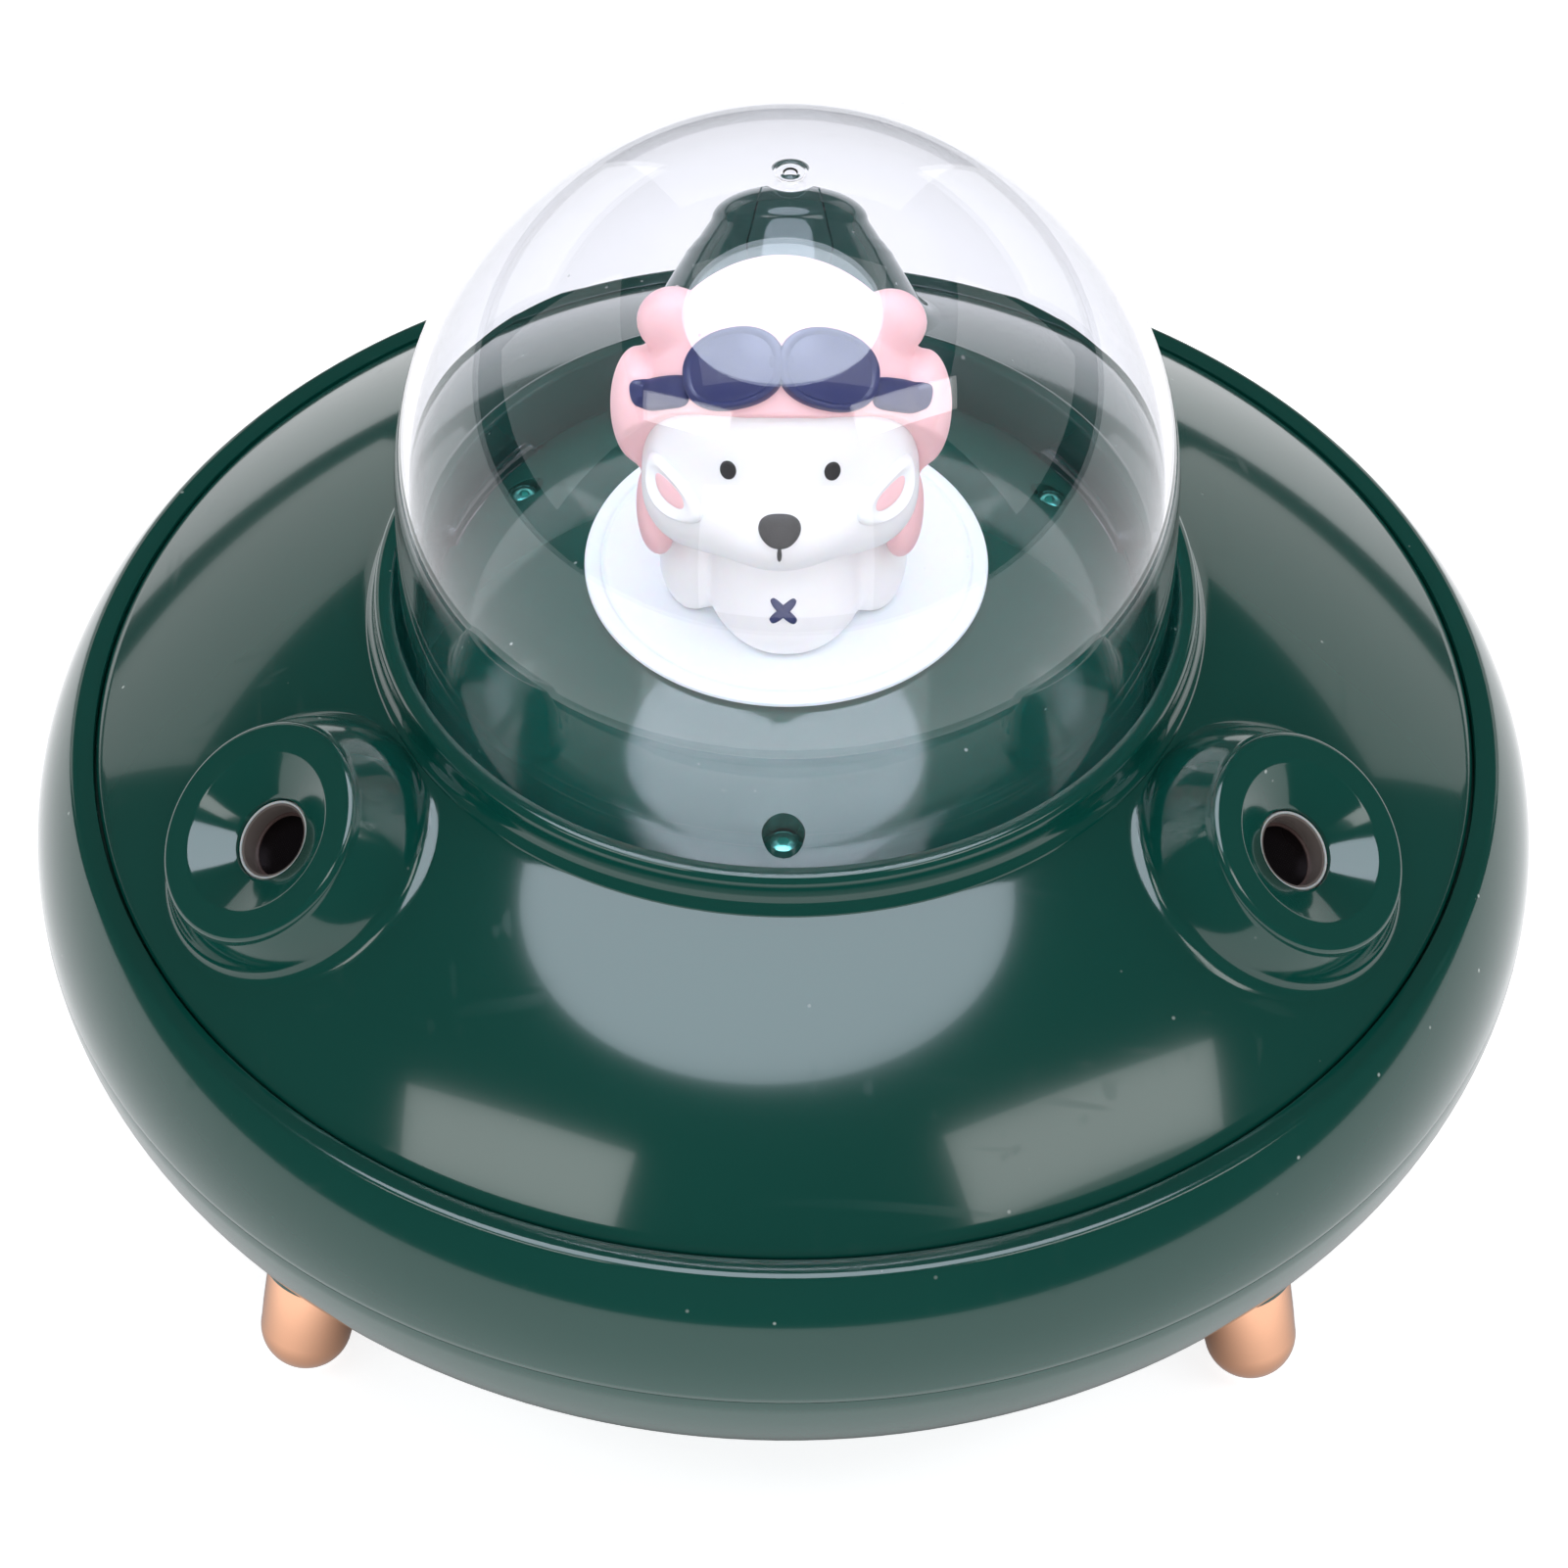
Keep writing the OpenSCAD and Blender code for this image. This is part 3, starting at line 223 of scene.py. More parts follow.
def fine_scratches():
    """Hairline polishing marks in two directions, as a mask."""
    group, ins, outs = effect("fine_scratches", {"Density": 420.0, "Amount": 0.4}, ["Mask"])
    place = group.nodes.new("ShaderNodeTexCoord").outputs["Object"]
    masks = []
    for turn, stretch in ((0.5, (1.0, 0.03, 1.0)), (-0.9, (0.04, 1.0, 0.6))):
        spun = add(group, "ShaderNodeMapping", Vector=place, Rotation=(0.2, 0.1, turn), Scale=stretch)
        hair = add(group, "ShaderNodeTexNoise", Vector=spun.outputs[0], Scale=ins.outputs["Density"], Detail=1.0)
        masks.append(ramp(group, hair.outputs["Fac"], 0.0, 1.0, 0.66, 0.72))
    where = add(group, "ShaderNodeTexNoise", Vector=place, Scale=30.0, Detail=2.0)
    patchy = math(group, "MULTIPLY", math(group, "MAXIMUM", *masks),
                  ramp(group, where.outputs["Fac"], 0.0, 1.0, 0.45, 0.7))
    group.links.new(math(group, "MULTIPLY", patchy, ins.outputs["Amount"]), outs.inputs["Mask"])
    return group


def edge_wear():
    """Where edges stand out and rub pale."""
    group, ins, outs = effect("edge_wear", {"Start": 0.54, "End": 0.66, "Patchiness": 60.0}, ["Mask"])
    edge = group.nodes.new("ShaderNodeNewGeometry").outputs["Pointiness"]
    rub = add(group, "ShaderNodeMapRange", Value=edge, From_Min=ins.outputs["Start"], From_Max=ins.outputs["End"])
    place = group.nodes.new("ShaderNodeTexCoord").outputs["Object"]
    spots = add(group, "ShaderNodeTexNoise", Vector=place, Scale=ins.outputs["Patchiness"], Detail=3.0)
    group.links.new(math(group, "MULTIPLY", rub.outputs[0], ramp(group, spots.outputs["Fac"], 0.0, 1.0, 0.4, 0.65)),
                    outs.inputs["Mask"])
    return group


def moulded_grain():
    """Broad ripple and fine grain of a moulded skin. Ripple is for gloss, Grain for bumps."""
    group, ins, outs = effect("moulded_grain", {"Grain Scale": 900.0, "Ripple Scale": 14.0}, ["Grain", "Ripple"])
    place = group.nodes.new("ShaderNodeTexCoord").outputs["Object"]
    for key in ("Grain", "Ripple"):
        tex = add(group, "ShaderNodeTexNoise", Vector=place, Scale=ins.outputs[key + " Scale"], Detail=3.0)
        group.links.new(tex.outputs["Fac"], outs.inputs[key])
    return group


EFFECTS = {g.name: g for g in (dust_specks(), fine_scratches(), edge_wear(), moulded_grain())}


def use(tree, name, **values):
    node = tree.nodes.new("ShaderNodeGroup")
    node.node_tree = EFFECTS[name]
    for key, value in values.items():
        node.inputs[key.replace("_", " ")].default_value = value
    return node


def tint(tree, factor, a, b):
    node = tree.nodes.new("ShaderNodeMix")
    node.data_type = "RGBA"
    tree.links.new(factor, node.inputs["Factor"])
    for key, value in (("A", a), ("B", b)):
        socket = [s for s in node.inputs if s.name == key and s.type == "RGBA"][0]
        if isinstance(value, bpy.types.NodeSocket):
            tree.links.new(value, socket)
        else:
            socket.default_value = (*value, 1)
    return [s for s in node.outputs if s.type == "RGBA"][0]


def finish(name, **plain):
    """A new material with one Principled shader; plain sets its sockets by name."""
    material = bpy.data.materials.new(name)
    material.use_nodes = True
    tree = material.node_tree
    shader = tree.nodes["Principled BSDF"]
    for key, value in plain.items():
        shader.inputs[key.replace("_", " ")].default_value = value
    return material, tree, shader


def bump(tree, shader, height, strength, distance):
    node = add(tree, "ShaderNodeBump", Height=height, Strength=strength, Distance=distance)
    tree.links.new(node.outputs["Normal"], shader.inputs["Normal"])


def moulded(name, colour, deep, gloss=(0.2, 0.3), grain=(900.0, 0.05), specks=0.0, wear=0.0, scratches=0.0,
            dust=(0.5, 0.56, 0.54), **plain):
    """Moulded plastic: colour drifts to deep, gloss from smooth to dull, with grain, dust and rubbed edges."""
    material, tree, shader = finish(name, **plain)
    skin = use(tree, "moulded_grain", Grain_Scale=grain[0], Ripple_Scale=16.0)
    colour_out = tint(tree, between(tree, skin, 0.0, 1.0), colour, deep)
    rough = between(tree, skin, *gloss)
    if specks:
        dots = use(tree, "dust_specks", Amount=specks)
        colour_out = tint(tree, dots.outputs["Mask"], colour_out, dust)
        rough = math(tree, "MAXIMUM", rough, math(tree, "MULTIPLY", dots.outputs["Mask"], 0.7))
    if wear:
        rub = use(tree, "edge_wear")
        colour_out = tint(tree, math(tree, "MULTIPLY", rub.outputs["Mask"], wear), colour_out,
                          tuple(min(1.0, c * 1.6 + 0.04) for c in colour))
    if scratches:
        hair = use(tree, "fine_scratches", Amount=scratches)
        rough = math(tree, "ADD", rough, math(tree, "MULTIPLY", hair.outputs["Mask"], 0.25))
    tree.links.new(colour_out, shader.inputs["Base Color"])
    tree.links.new(rough, shader.inputs["Roughness"])
    if grain[1]:
        bump(tree, shader, skin.outputs["Grain"], grain[1], 0.0002)
    return material


def metal(name, colour, dull, gloss, brushed=0.0, wear=0.3, **plain):
    """Bare or coated metal, with brush marks if brushed is above 0."""
    material, tree, shader = finish(name, Metallic=1.0, **plain)
    skin = use(tree, "moulded_grain", Grain_Scale=1400.0, Ripple_Scale=40.0)
    tone = tint(tree, between(tree, skin, 0.0, 1.0), colour, dull)
    rub = use(tree, "edge_wear")
    tone = tint(tree, math(tree, "MULTIPLY", rub.outputs["Mask"], wear), tone,
                tuple(min(1, c * 1.25) for c in colour))
    hair = use(tree, "fine_scratches", Amount=0.3 + brushed)
    rough = math(tree, "ADD", between(tree, skin, *gloss), math(tree, "MULTIPLY", hair.outputs["Mask"], 0.2))
    tree.links.new(tone, shader.inputs["Base Color"])
    tree.links.new(rough, shader.inputs["Roughness"])
    bump(tree, shader, hair.outputs["Mask"] if brushed else skin.outputs["Grain"], 0.04 + brushed * 0.1, 0.0001)
    return material


def clear_shell():
    """Clear acrylic with a faint lilac cast. Light passes straight through to what it covers."""
    material, tree, shader = finish("clear_acrylic", Transmission_Weight=1.0, IOR=1.49, Metallic=0.0,
                                    Specular_IOR_Level=0.33)
    skin = use(tree, "moulded_grain", Grain_Scale=300.0, Ripple_Scale=8.0)
    hair = use(tree, "fine_scratches", Amount=0.5, Density=300.0)
    dots = use(tree, "dust_specks", Amount=0.35, Cells=200.0)
    tone = tint(tree, between(tree, skin, 0.0, 1.0), (0.965, 0.965, 0.99), (0.94, 0.945, 0.985))
    tree.links.new(tone, shader.inputs["Base Color"])
    rough = math(tree, "ADD", math(tree, "MULTIPLY", hair.outputs["Mask"], 0.05),
                 math(tree, "MULTIPLY", dots.outputs["Mask"], 0.4))
    tree.links.new(rough, shader.inputs["Roughness"])
    through = add(tree, "ShaderNodeBsdfTransparent", Color=(0.93, 0.93, 0.96, 1))
    shadow = tree.nodes.new("ShaderNodeLightPath").outputs["Is Shadow Ray"]
    both = add(tree, "ShaderNodeMixShader", Fac=shadow, i1=shader.outputs[0], i2=through.outputs[0])
    tree.links.new(both.outputs[0], tree.nodes["Material Output"].inputs["Surface"])
    return material


def cotton():
    """Pressed cotton of the wicks, with tangled fibres."""
    material, tree, shader = finish("pressed_cotton", Roughness=0.95, Sheen_Weight=0.5)
    place = tree.nodes.new("ShaderNodeTexCoord").outputs["Object"]
    fibre = add(tree, "ShaderNodeTexNoise", Vector=place, Scale=1500.0, Detail=6.0, Distortion=1.5)
    tree.links.new(tint(tree, fibre.outputs["Fac"], (0.78, 0.77, 0.73), (0.95, 0.95, 0.92)),
                   shader.inputs["Base Color"])
    bump(tree, shader, fibre.outputs["Fac"], 0.6, 0.0005)
    return material


def circuit():
    """Green solder mask with copper tracks under it."""
    material, tree, shader = finish("solder_mask", Roughness=0.35, Coat_Weight=0.4)
    place = tree.nodes.new("ShaderNodeTexCoord").outputs["Object"]
    tracks = add(tree, "ShaderNodeTexBrick", Vector=place, Scale=260.0, Mortar_Size=0.12,
                 Color1=(0.01, 0.10, 0.045, 1), Color2=(0.012, 0.13, 0.055, 1), Mortar=(0.05, 0.22, 0.09, 1))
    cloud = add(tree, "ShaderNodeTexNoise", Vector=place, Scale=120.0, Detail=2.0)
    tree.links.new(tint(tree, cloud.outputs["Fac"], tracks.outputs["Color"], (0.012, 0.11, 0.05)),
                   shader.inputs["Base Color"])
    bump(tree, shader, tracks.outputs["Fac"], 0.3, 0.0001)
    return material


def opal(name, colour, glow):
    """Milky diffuser plastic with a soft light behind it."""
    material, tree, shader = finish(name, Roughness=0.32, Subsurface_Weight=0.3, Subsurface_Scale=0.003,
                                    Emission_Strength=glow)
    skin = use(tree, "moulded_grain", Grain_Scale=700.0, Ripple_Scale=20.0)
    tone = tint(tree, between(tree, skin, 0.0, 1.0), colour, tuple(c * 0.97 for c in colour))
    tree.links.new(tone, shader.inputs["Base Color"])
    tree.links.new(tone, shader.inputs["Emission Color"])
    dots = use(tree, "dust_specks", Amount=0.25, Cells=300.0)
    tree.links.new(ramp(tree, dots.outputs["Mask"], 0.3, 0.7), shader.inputs["Roughness"])
    bump(tree, shader, skin.outputs["Grain"], 0.03, 0.0002)
    return material


GREEN, GREEN_DEEP = (0.0026, 0.058, 0.045), (0.0023, 0.052, 0.040)
gloss_green = moulded("gloss_green", GREEN, GREEN_DEEP, (0.09, 0.13), (60.0, 0.012), specks=0.35, wear=0.25,
                      scratches=0.5, Coat_Weight=0.35, Coat_Roughness=0.04, IOR=1.5)
matt_green = moulded("matt_green", GREEN, GREEN_DEEP, (0.32, 0.42), (900.0, 0.15), wear=0.3, scratches=0.3)
tank_clear = moulded("tank_smoke", (0.80, 0.86, 0.87), (0.74, 0.81, 0.83), (0.22, 0.3), (500.0, 0.06),
                     scratches=0.5, Transmission_Weight=0.55, IOR=1.49)
rose_copper = metal("rose_copper", (0.95, 0.53, 0.34), (0.90, 0.48, 0.30), (0.12, 0.18), wear=0.2)
pad_rubber = moulded("pad_rubber", (0.78, 0.79, 0.78), (0.68, 0.69, 0.68), (0.45, 0.6), (1200.0, 0.2),
                     specks=0.4, dust=(0.25, 0.24, 0.22), Transmission_Weight=0.35)
silicone = moulded("silicone", (0.55, 0.55, 0.56), (0.45, 0.46, 0.47), (0.25, 0.4), (900.0, 0.08),
                   Subsurface_Weight=0.25, Subsurface_Scale=0.002)
smoky_silicone = moulded("smoky_silicone", (0.15, 0.125, 0.115), (0.09, 0.075, 0.07), (0.22, 0.35), (700.0, 0.08))
disc_steel = metal("disc_steel", (0.035, 0.028, 0.030), (0.02, 0.016, 0.018), (0.25, 0.38))
disc_ceramic = moulded("disc_ceramic", (0.085, 0.05, 0.045), (0.05, 0.03, 0.028), (0.3, 0.45), (1500.0, 0.1))
bright_steel = metal("bright_steel", (0.66, 0.67, 0.69), (0.56, 0.57, 0.6), (0.2, 0.32), brushed=0.4)
teal_steel = metal("teal_steel", (0.16, 0.55, 0.50), (0.10, 0.42, 0.38), (0.18, 0.3), brushed=0.3)
cotton_white = cotton()
lamp_opal = opal("lamp_opal", (0.84, 0.87, 0.90), 0.03)
led_white = opal("led_white", (0.95, 0.93, 0.80), 0.3)
board_green = circuit()
black_plastic = moulded("black_plastic", (0.018, 0.018, 0.020), (0.012, 0.012, 0.013), (0.35, 0.5),
                        (1000.0, 0.15), wear=0.3)
cub_white = moulded("cub_white", (0.90, 0.89, 0.88), (0.86, 0.85, 0.84), (0.4, 0.5), (1400.0, 0.10),
                    specks=0.1, dust=(0.6, 0.58, 0.55), Subsurface_Weight=0.12, Subsurface_Scale=0.0015)
cap_pink = moulded("cap_pink", (0.92, 0.58, 0.59), (0.89, 0.54, 0.55), (0.4, 0.5), (1300.0, 0.12), wear=0.15,
                   Subsurface_Weight=0.12, Subsurface_Scale=0.0015)
navy_paint = moulded("navy_paint", (0.022, 0.030, 0.115), (0.017, 0.023, 0.09), (0.3, 0.4), (1500.0, 0.10),
                     specks=0.5, wear=0.25)
black_paint = moulded("black_paint", (0.022, 0.020, 0.020), (0.014, 0.013, 0.013), (0.45, 0.6), (2200.0, 0.3))
wire_white = moulded("wire_white", (0.80, 0.80, 0.79), (0.72, 0.72, 0.70), (0.4, 0.5), (1600.0, 0.1),
                     specks=0.2, dust=(0.4, 0.38, 0.35))
clear_acrylic = clear_shell()

# ---------------------------------------------------------------- shapes
# A shape is (corners as an n x 3 array, faces as tuples of corner numbers), in millimetres.


def outward(corners, faces):
    """The same closed shape with every face pointing out."""
    six_volumes = 0.0
    for f in faces:
        for i in range(1, len(f) - 1):
            six_volumes += np.dot(corners[f[0]], np.cross(corners[f[i]], corners[f[i + 1]]))
    return corners, [f[::-1] for f in faces] if six_volumes < 0 else list(faces)


def rings_to_shape(rings, closed):
    """Joins rings of corners one after another; a ring of one corner is a pole."""
    corners = np.concatenate(rings)
    starts = np.cumsum([0] + [len(r) for r in rings])
    faces = []
    for k in range(len(rings) if closed else len(rings) - 1):
        k2 = (k + 1) % len(rings)
        a, b, na, nb = starts[k], starts[k2], len(rings[k]), len(rings[k2])
        n = max(na, nb)
        for i in range(n):
            j = (i + 1) % n
            if na == 1:
                faces.append((a, b + i, b + j))
            elif nb == 1:
                faces.append((a + i, b, a + j))
            else:
                faces.append((a + i, b + i, b + j, a + j))
    faces = [tuple(int(c) for c in f) for f in faces]
    return outward(corners, faces)


def turned(profile, steps=160):
    """A profile of (radius, height) turned round Z. It is a solid if both its ends are on the axis, else a ring."""
    angle = np.linspace(0, 2 * pi, steps, endpoint=False)
    rings = []
    for r, z in profile:
        if r < 1e-6:
            rings.append(np.array([[0.0, 0.0, z]]))
        else:
            rings.append(np.stack([r * np.cos(angle), r * np.sin(angle), np.full(steps, float(z))], 1))
    return rings_to_shape(rings, profile[0][0] > 1e-6)


def arc(cx, cz, r, start, end, n, rz=None):
    """Points on an arc, angles in degrees, both ends included."""
    rz = r if rz is None else rz
    turns = [radians(start + (end - start) * i / n) for i in range(n + 1)]
    return [(cx + r * cos(t), cz + rz * sin(t)) for t in turns]


def rod(r, low, high, steps):
    """A plain round bar along Z, mostly for cutting."""
    return turned([(0, low), (r, low), (r, high), (0, high)], steps)


def softened(path, n=4):
    """A closed profile of (r, z, rounding). Each corner becomes an arc, with an edge close by to hold it."""
    out = []
    for i, (r, z, soft) in enumerate(path):
        if soft <= 0:
            out.append((r, z))
            continue
        p = Vector((r, z))
        a = Vector(path[i - 1][:2]) - p
        b = Vector(path[(i + 1) % len(path)][:2]) - p
        la, lb = a.length, b.length
        a.normalize()
        b.normalize()
        half = a.angle(b) / 2
        back = min(soft / max(0.05, np.tan(half)), la * 0.45, lb * 0.45)
        p0, p1 = p + a * back, p + b * back
        hold = min(0.25 * back + 0.02, la * 0.03)
        out.append(tuple(p + a * (back + hold)))
        for k in range(n + 1):
            t = k / n
            out.append(tuple(p0 * (1 - t) ** 2 + p * 2 * t * (1 - t) + p1 * t * t))
        out.append(tuple(p + b * (back + hold)))
    return out


def moved(points, matrix):
    m = np.array(matrix)
    return points @ m[:3, :3].T + m[:3, 3]


def placed(shape, matrix):
    return outward(moved(shape[0], matrix), shape[1])


def merged(*shapes):
    corners, faces, start = [], [], 0
    for c, f in shapes:
        corners.append(c)
        faces += [tuple(i + start for i in face) for face in f]
        start += len(c)
    return np.concatenate(corners), faces


def mesh_of(name, shape, scale=1.0):
    mesh = bpy.data.meshes.new(name)
    mesh.from_pydata((shape[0] * scale).tolist(), [], shape[1])
    mesh.update()
    return mesh


def shape_of(mesh):
    corners = np.zeros(len(mesh.vertices) * 3)
    mesh.vertices.foreach_get("co", corners)
    return corners.reshape(-1, 3), [tuple(p.vertices) for p in mesh.polygons]


def combined(shape, tools, operation="DIFFERENCE"):
    """shape with the closed tools taken out of it, or kept only inside them."""
    block = bpy.data.objects.new("block", mesh_of("block", shape))
    scene.collection.objects.link(block)
    helpers = []
    for tool in tools:
        helper = bpy.data.objects.new("tool", mesh_of("tool", tool))
        scene.collection.objects.link(helper)
        step = block.modifiers.new("cut", "BOOLEAN")
        step.operation, step.object, step.solver = operation, helper, "EXACT"
        helpers.append(helper)
    evaluated = block.evaluated_get(bpy.context.evaluated_depsgraph_get())
    result = bpy.data.meshes.new_from_object(evaluated)
    out = shape_of(result)
    for thing in [block] + helpers:
        mesh = thing.data
        bpy.data.objects.remove(thing)
        bpy.data.meshes.remove(mesh)
    bpy.data.meshes.remove(result)
    return out


def settled(name, mesh, body, nodes):
    """The mesh as a piece that rides on a body and stands for the nodes."""
    thing = bpy.data.objects.new(name, mesh)
    scene.collection.objects.link(thing)
    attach(thing, body)
    if nodes:
        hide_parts(*nodes)
    return thing


def piece(name, parts, body, nodes, sharp=35.0):
    """One visible piece. parts is a list of (shape, finish)."""
    mesh = mesh_of(name, merged(*[shape for shape, _ in parts]), MM)
    finishes, marks = [], []
    for shape, material in parts:
        if material not in finishes:
            finishes.append(material)
        marks += [finishes.index(material)] * len(shape[1])
    for material in finishes:
        mesh.materials.append(material)
    mesh.polygons.foreach_set("material_index", marks)
    mesh.shade_smooth()
    mesh.set_sharp_from_angle(angle=radians(sharp))
    return settled(name, mesh, body, nodes)


def spin(degrees_, axis="Z"):
    return Matrix.Rotation(radians(degrees_), 4, axis)


def shift(x, y, z):
    return Matrix.Translation((x, y, z))


def at_nozzle(side):
    """Origin in the middle of a nozzle's rim, +Z out of the nozzle. side is -1 for left."""
    return spin(side * NOZZLE_AZ) @ shift(0, -NOZZLE_RAD, NOZZLE_Z) @ spin(NOZZLE_TILT, "X")


AT_TAIL = spin(180) @ shift(0, -TAIL_RAD, TAIL_Z) @ spin(NOZZLE_TILT, "X")
AT_BUTTON = AT_TAIL @ shift(0, BUTTON_SIDE, -BUTTON_S) @ spin(-90, "X") @ spin(180)


def at_foot(azimuth):
    return spin(azimuth) @ shift(FOOT_RAD, 0, FOOT_R) @ spin(-FOOT_LEAN, "Y")


def extruded(outline, low, high):
    """A prism from an outline in X and Y."""
    n = len(outline)
    corners = np.array([(x, y, z) for z in (low, high) for x, y in outline])
    faces = [(i, (i + 1) % n, n + (i + 1) % n, n + i) for i in range(n)]
    faces += [tuple(range(n))[::-1], tuple(range(n, 2 * n))]
    return outward(corners, faces)


# ---------------------------------------------------------------- base


def bowl_shape():
    outer = arc(BASE_R, WAIST_Z, 36.0, -90, 0, 44, 28.0)
    inner = arc(BASE_R, WAIST_Z, 33.8, 0, -90, 40, 25.8)
    lip = [(SAUCER_R - 0.12, WAIST_Z - 0.02), (SAUCER_R - 0.45, WAIST_Z), (93.05, WAIST_Z), (93.05, 41.4),
           (92.85, 41.6), (92.0, 41.6), (91.8, 41.4), (91.8, 38.6)]
    start = [(0.0, BASE_Z), (BASE_R * 0.5, BASE_Z), (BASE_R - 1, BASE_Z)]
    end = [(BASE_R - 1, BASE_Z + WALL), (BASE_R * 0.5, BASE_Z + WALL), (0.0, BASE_Z + WALL)]
    shell = turned(start + outer[:-1] + lip + inner[1:] + end, 192)
    boss = turned(softened([(0, FOOT_H + 0.02, 0), (6.8, FOOT_H + 0.02, 0.4), (6.8, 15.6, 0), (0, 15.6, 0)])[:-1]
                  + [(0.0, 15.6)], 48)
    return merged(shell, *[placed(boss, at_foot(a)) for a in sorted(FEET.values())])


def rim_shape():
    shoulder_r = 1.4
    a = degrees(asin((SEAM_Z - WAIST_Z - shoulder_r) / (RIM_CURVE - shoulder_r)))
    c = SAUCER_R - RIM_CURVE
    outer = arc(c, WAIST_Z, RIM_CURVE, 0.8, a, 26)
    shoulder = arc(c + (RIM_CURVE - shoulder_r) * cos(radians(a)), SEAM_Z - shoulder_r, shoulder_r, a, 90, 8)[1:]
    shelf = [(88.2, SEAM_Z), (SHELF_R + 0.45, SEAM_Z), (SHELF_R + 0.13, SEAM_Z - 0.1), (SHELF_R, SEAM_Z - 0.4),
             (SHELF_R, STEP_Z - 0.2), (85.0, STEP_Z - 0.2), (85.0, STEP_Z - 2.4), (87.4, STEP_Z - 2.4)]
    inner = arc(c, WAIST_Z, RIM_CURVE - WALL, 24, 5, 10)
    foot = [(92.9, WAIST_Z + 1.8), (93.15, WAIST_Z + 1.8), (93.15, WAIST_Z), (SAUCER_R - 0.45, WAIST_Z),
            (SAUCER_R - 0.12, WAIST_Z + 0.06)]
    return turned(outer + shoulder + shelf + inner + foot, 192)


def tank_shape():
    top = STEP_Z - 2.2 - 0.4
    outer = arc(BASE_R, WAIST_Z, 29.8, -90, 0, 30, 24.2)
    inner = arc(BASE_R, WAIST_Z, 28.2, 0, -90, 30, 22.6)
    floor = WAIST_Z - 24.2
    lip = [(89.0, top - 0.4), (88.7, top), (87.8, top), (87.4, top - 0.4)]
    return turned([(0.0, floor), (40.0, floor)] + outer + lip + inner + [(40.0, floor + 1.6), (0.0, floor + 1.6)], 144)


def foot_shape(azimuth):
    side = [(5.72, 0.6), (5.9, 3.0), (6.2, FOOT_H - 0.5)] + arc(5.75, FOOT_H - 0.45, 0.45, 0, 90, 4)
    solid = turned([(0.0, -FOOT_R)] + [(FOOT_R * sin(radians(t)), -FOOT_R * cos(radians(t))) for t in range(6, 91, 6)]
                   + side + [(0.0, FOOT_H)], 72)
    recess = rod(PAD_R + 0.05, -2.0, 1.4, 48)
    return combined(placed(solid, at_foot(azimuth)), [placed(recess, spin(azimuth) @ shift(FOOT_RAD, 0, 0))])


piece("lower_shell", [(bowl_shape(), gloss_green)], "base", ["lower_bowl"])
piece("upper_rim", [(rim_shape(), gloss_green)], "base", ["rim_ring"])
piece("water_tank_cup", [(tank_shape(), tank_clear)], "base", ["water_tank"])
for foot_name, foot_azimuth in FEET.items():
    piece("peg_foot_" + foot_name, [(foot_shape(foot_azimuth), rose_copper)], "base", ["foot_" + foot_name])

# ---------------------------------------------------------------- lid


def lid_body_shape():
    """Everything of the lid that turns round its axis: cap, collar, ledge and spigot."""
    cap = [(r, lid_z(r)) for r in np.linspace(SEAM_R - 0.5, 51.9, 44)]
    foot_z = lid_z(51.6)
    collar = [(51.62, foot_z + 0.02), (51.55, foot_z + 0.30), (51.4, foot_z + 0.46), (51.1, foot_z + 0.72),
              (50.8, foot_z + 1.15), (50.55, foot_z + 1.75), (50.42, foot_z + 2.4), (COLLAR_R, 78.1)]
    collar += arc(COLLAR_R - 1.2, COLLAR_Z - 1.2, 1.2, 0, 90, 8)
    collar += [(48.6, COLLAR_Z), (48.25, COLLAR_Z - 0.08), (48.05, COLLAR_Z - 0.35), (COLLAR_IN, COLLAR_Z - 0.7)]
    ledge = [(COLLAR_IN, LEDGE_Z + 0.3), (COLLAR_IN - 0.3, LEDGE_Z), (LEDGE_IN, LEDGE_Z), (LEDGE_IN, LEDGE_Z - 2),
             (COLLAR_R, LEDGE_Z - 2), (COLLAR_R, lid_under_z(COLLAR_R))]
    under = [(r, lid_under_z(r)) for r in np.linspace(52.0, SPIGOT_IN, 16)]
    spigot = [(SPIGOT_IN, SPIGOT_Z + 0.4), (SPIGOT_IN + 0.4, SPIGOT_Z), (SPIGOT_R - 0.4, SPIGOT_Z),
              (SPIGOT_R, SPIGOT_Z + 0.4), (SPIGOT_R, STEP_Z - 3.2), (82.2, STEP_Z - 3.2), (82.2, STEP_Z - 1.3),
              (SPIGOT_R, STEP_Z - 1.3), (SPIGOT_R, STEP_Z), (SEAM_R, STEP_Z)]
    edge = [(SEAM_R, SEAM_Z - 0.45), (SEAM_R - 0.08, SEAM_Z - 0.18), (SEAM_R - 0.25, SEAM_Z + 0.05)]
    return turned(cap + collar + ledge + under + spigot + edge, 216)


